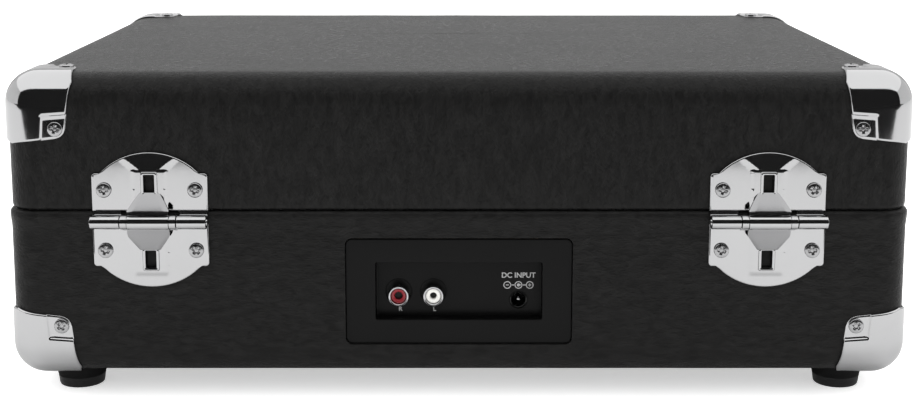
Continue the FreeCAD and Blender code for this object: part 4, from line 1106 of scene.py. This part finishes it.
def lid_lining():
    """A glued cloth lining: thin walls, a soft cove into the top, and a turned rim."""
    low, high = corners("lid_lining")
    wall = LID_HIGH.x - high.x
    face, cove = wall + 0.55, 3.0
    profile = [(wall + 0.05, high.z - 0.05), (wall + 0.05, low.z + 0.25), (wall + 0.3, low.z + 0.02),
               (face - 0.05, low.z + 0.25), (face, low.z + 0.8), (face + 0.12, low.z + 2.2),
               (face, low.z + 3.0)]
    hem = len(profile)
    profile += [(face, level) for level in (88, 96, 104, 112)]
    for tick in range(7):
        angle = tick * math.pi / 12
        profile.append((face + cove * (1 - math.cos(angle)), high.z - 0.6 - cove * (1 - math.sin(angle))))
    profile += [(face + reach, high.z - 0.6) for reach in (8, 16, 28, 44, 62, 82, 100)]
    rings = [case_ring(LID_LOW, LID_HIGH, step, level) for step, level in profile]
    spots, faces = loft(rings, True, True)
    soft = [ripple(Vector(spot), 0.05, 0.06) if index >= hem * len(rings[0]) else spot
            for index, spot in enumerate(spots)]
    make("lid_lining_cloth", "lid", "lining", [(soft, faces)], None, 50, ["lid_lining"], False)


def slip_mat():
    """A felt disc, soft at its cut edges and never quite flat."""
    low, high = corners("slip_mat")
    radius = (high.x - low.x) / 2
    thick = high.z - low.z
    profile = [(MAT_HOLE_R, 0.06), (radius - 0.3, 0.06), (radius - 0.05, 0.3), (radius, 0.8)]
    profile += [(radius - 0.15, thick - 0.5), (radius - 0.6, thick - 0.16), (radius - 1.4, thick - 0.06)]
    profile += [(radius * share, thick - 0.06) for share in (0.92, 0.84, 0.74, 0.62, 0.5, 0.38, 0.26, 0.15)]
    profile += [(5.2, thick - 0.08), (4.5, thick - 0.2), (MAT_HOLE_R, thick - 0.5), (MAT_HOLE_R, 0.06)]
    spots, faces = lathe(profile, "+z", (SPINDLE.x, SPINDLE.y, low.z), 120)
    soft = []
    for spot in map(Vector, spots):
        raised = min(1.0, max(0.0, spot.z - low.z - 0.3))
        uneven = noise.noise(spot * 0.05) + noise.noise(spot * 0.4)
        soft.append(spot + Vector((0, 0, 0.05 * raised * uneven)))
    make("slip_mat_felt", "turntable", "felt", [(soft, faces)], None, 60, ["slip_mat"], False)


# ---------------------------------------------------------------- studio
def area_light(name, place, target, size, power, size_y=None):
    data = bpy.data.lights.new(name, "AREA")
    data.shape = "RECTANGLE"
    data.size = size
    data.size_y = size_y or size
    data.energy = power
    lamp = bpy.data.objects.new(name, data)
    bpy.context.scene.collection.objects.link(lamp)
    lamp.location = place
    lamp.rotation_euler = (Vector(target) - Vector(place)).to_track_quat("-Z", "Y").to_euler()
    lamp.visible_glossy = False
    return lamp


def card(name, spots, colour):
    """A flat card that is seen only in reflections."""
    mesh = bpy.data.meshes.new(name)
    mesh.from_pydata(spots, [], [(0, 1, 2, 3)])
    item = bpy.data.objects.new(name, mesh)
    bpy.context.scene.collection.objects.link(item)
    made = Nodes(name + "_paint")
    made.set(base_color=(*colour, 1), roughness=1.0, specular_ior_level=0.0)
    mesh.materials.append(made.material)
    item.visible_camera = False
    item.visible_diffuse = False
    item.visible_shadow = False
    return item


def studio():
    scene = bpy.context.scene
    world = bpy.data.worlds.new("studio")
    scene.world = world
    world.use_nodes = True
    world.node_tree.nodes["Background"].inputs["Color"].default_value = (1, 1, 1, 1)
    world.node_tree.nodes["Background"].inputs["Strength"].default_value = 1.45
    mesh = bpy.data.meshes.new("floor")
    reach = 6.0
    mesh.from_pydata([(-reach, -reach, 0), (reach, -reach, 0), (reach, reach, 0), (-reach, reach, 0)], [],
                     [(0, 1, 2, 3)])
    floor = bpy.data.objects.new("floor", mesh)
    scene.collection.objects.link(floor)
    made = Nodes("glowing_floor_paint")
    even = made.mapped()
    made.tint(made.noise(even, 3, 2.0), (0.93, 0.93, 0.93), (0.96, 0.96, 0.96))
    # painted light: the floor glows (emission 0.5), lightening the shadows the case casts on it
    made.set(roughness=0.9, specular_ior_level=0.1, emission_color=(1, 1, 1, 1), emission_strength=0.5)
    mesh.materials.append(made.material)
    area_light("top_box", (0, -0.25, 1.5), (0, 0, 0.05), 1.6, 14, 1.2)
    table_edge = BASE_HIGH.y * MM + 0.48
    wide, low, deep, wall, tall = 3.0, 0.004, 4.0, 1.6, 2.05
    dark, table_white, side_grey, far_grey = 0.012, 0.72, 0.55, 0.40

    def lying(y_low, y_high):
        return [(-wide, y_low, low), (wide, y_low, low), (wide, y_high, low), (-wide, y_high, low)]

    def standing(x_low, y_low, x_high, y_high):
        return [(x_low, y_low, 0), (x_high, y_high, 0), (x_high, y_high, tall), (x_low, y_low, tall)]

    cards = {
        "table_card": (lying(-wide, table_edge), table_white),
        "dark_floor": (lying(table_edge, deep), dark),
        "dark_wall": (standing(-wide, wall, wide, wall), dark),
        "far_wall": (standing(-wide, -wide, wide, -wide), far_grey),
    }
    for side in (-1, 1):
        cards[f"side_wall_{side}"] = (standing(side * wide, -wide, side * wide, wall), side_grey)
    for name, (spots, grey) in cards.items():
        card(name, spots, (grey, grey, grey))
    scene.view_settings.view_transform = "Standard"
    scene.view_settings.look = "None"


LENS, SHIFT = 60.52, (0.0012, -0.08)
CAMERA_AWAY, CAMERA_HEIGHT, CAMERA_DOWN = 0.5817, 0.2064, 9.53


def camera():
    data = bpy.data.cameras.new("camera")
    data.sensor_width = 36
    data.lens = LENS
    data.shift_x, data.shift_y = SHIFT
    item = bpy.data.objects.new("camera", data)
    bpy.context.scene.collection.objects.link(item)
    item.location = (0, BASE_HIGH.y * MM + CAMERA_AWAY, CAMERA_HEIGHT)
    item.rotation_euler = (math.radians(90 - CAMERA_DOWN), 0, math.pi)
    bpy.context.scene.camera = item


dress_cad()
base_skin()
lid_skin()
corner_guards("base_guards", "case", "base_corner_guards", BASE_LOW, BASE_HIGH, False)
corner_guards("lid_guards", "lid", "lid_corner_guards", LID_LOW, LID_HIGH, True)
all_screws()
hinges()
jack_panel()
sockets()
markings()
feet()
latch_fittings()
latch_lever("left_lever", "left_latch", "latch_lever_left", LATCH_X)
latch_lever("right_lever", "right_latch", "latch_lever_right", -LATCH_X)
handle()
lid_lining()
slip_mat()
studio()
camera()
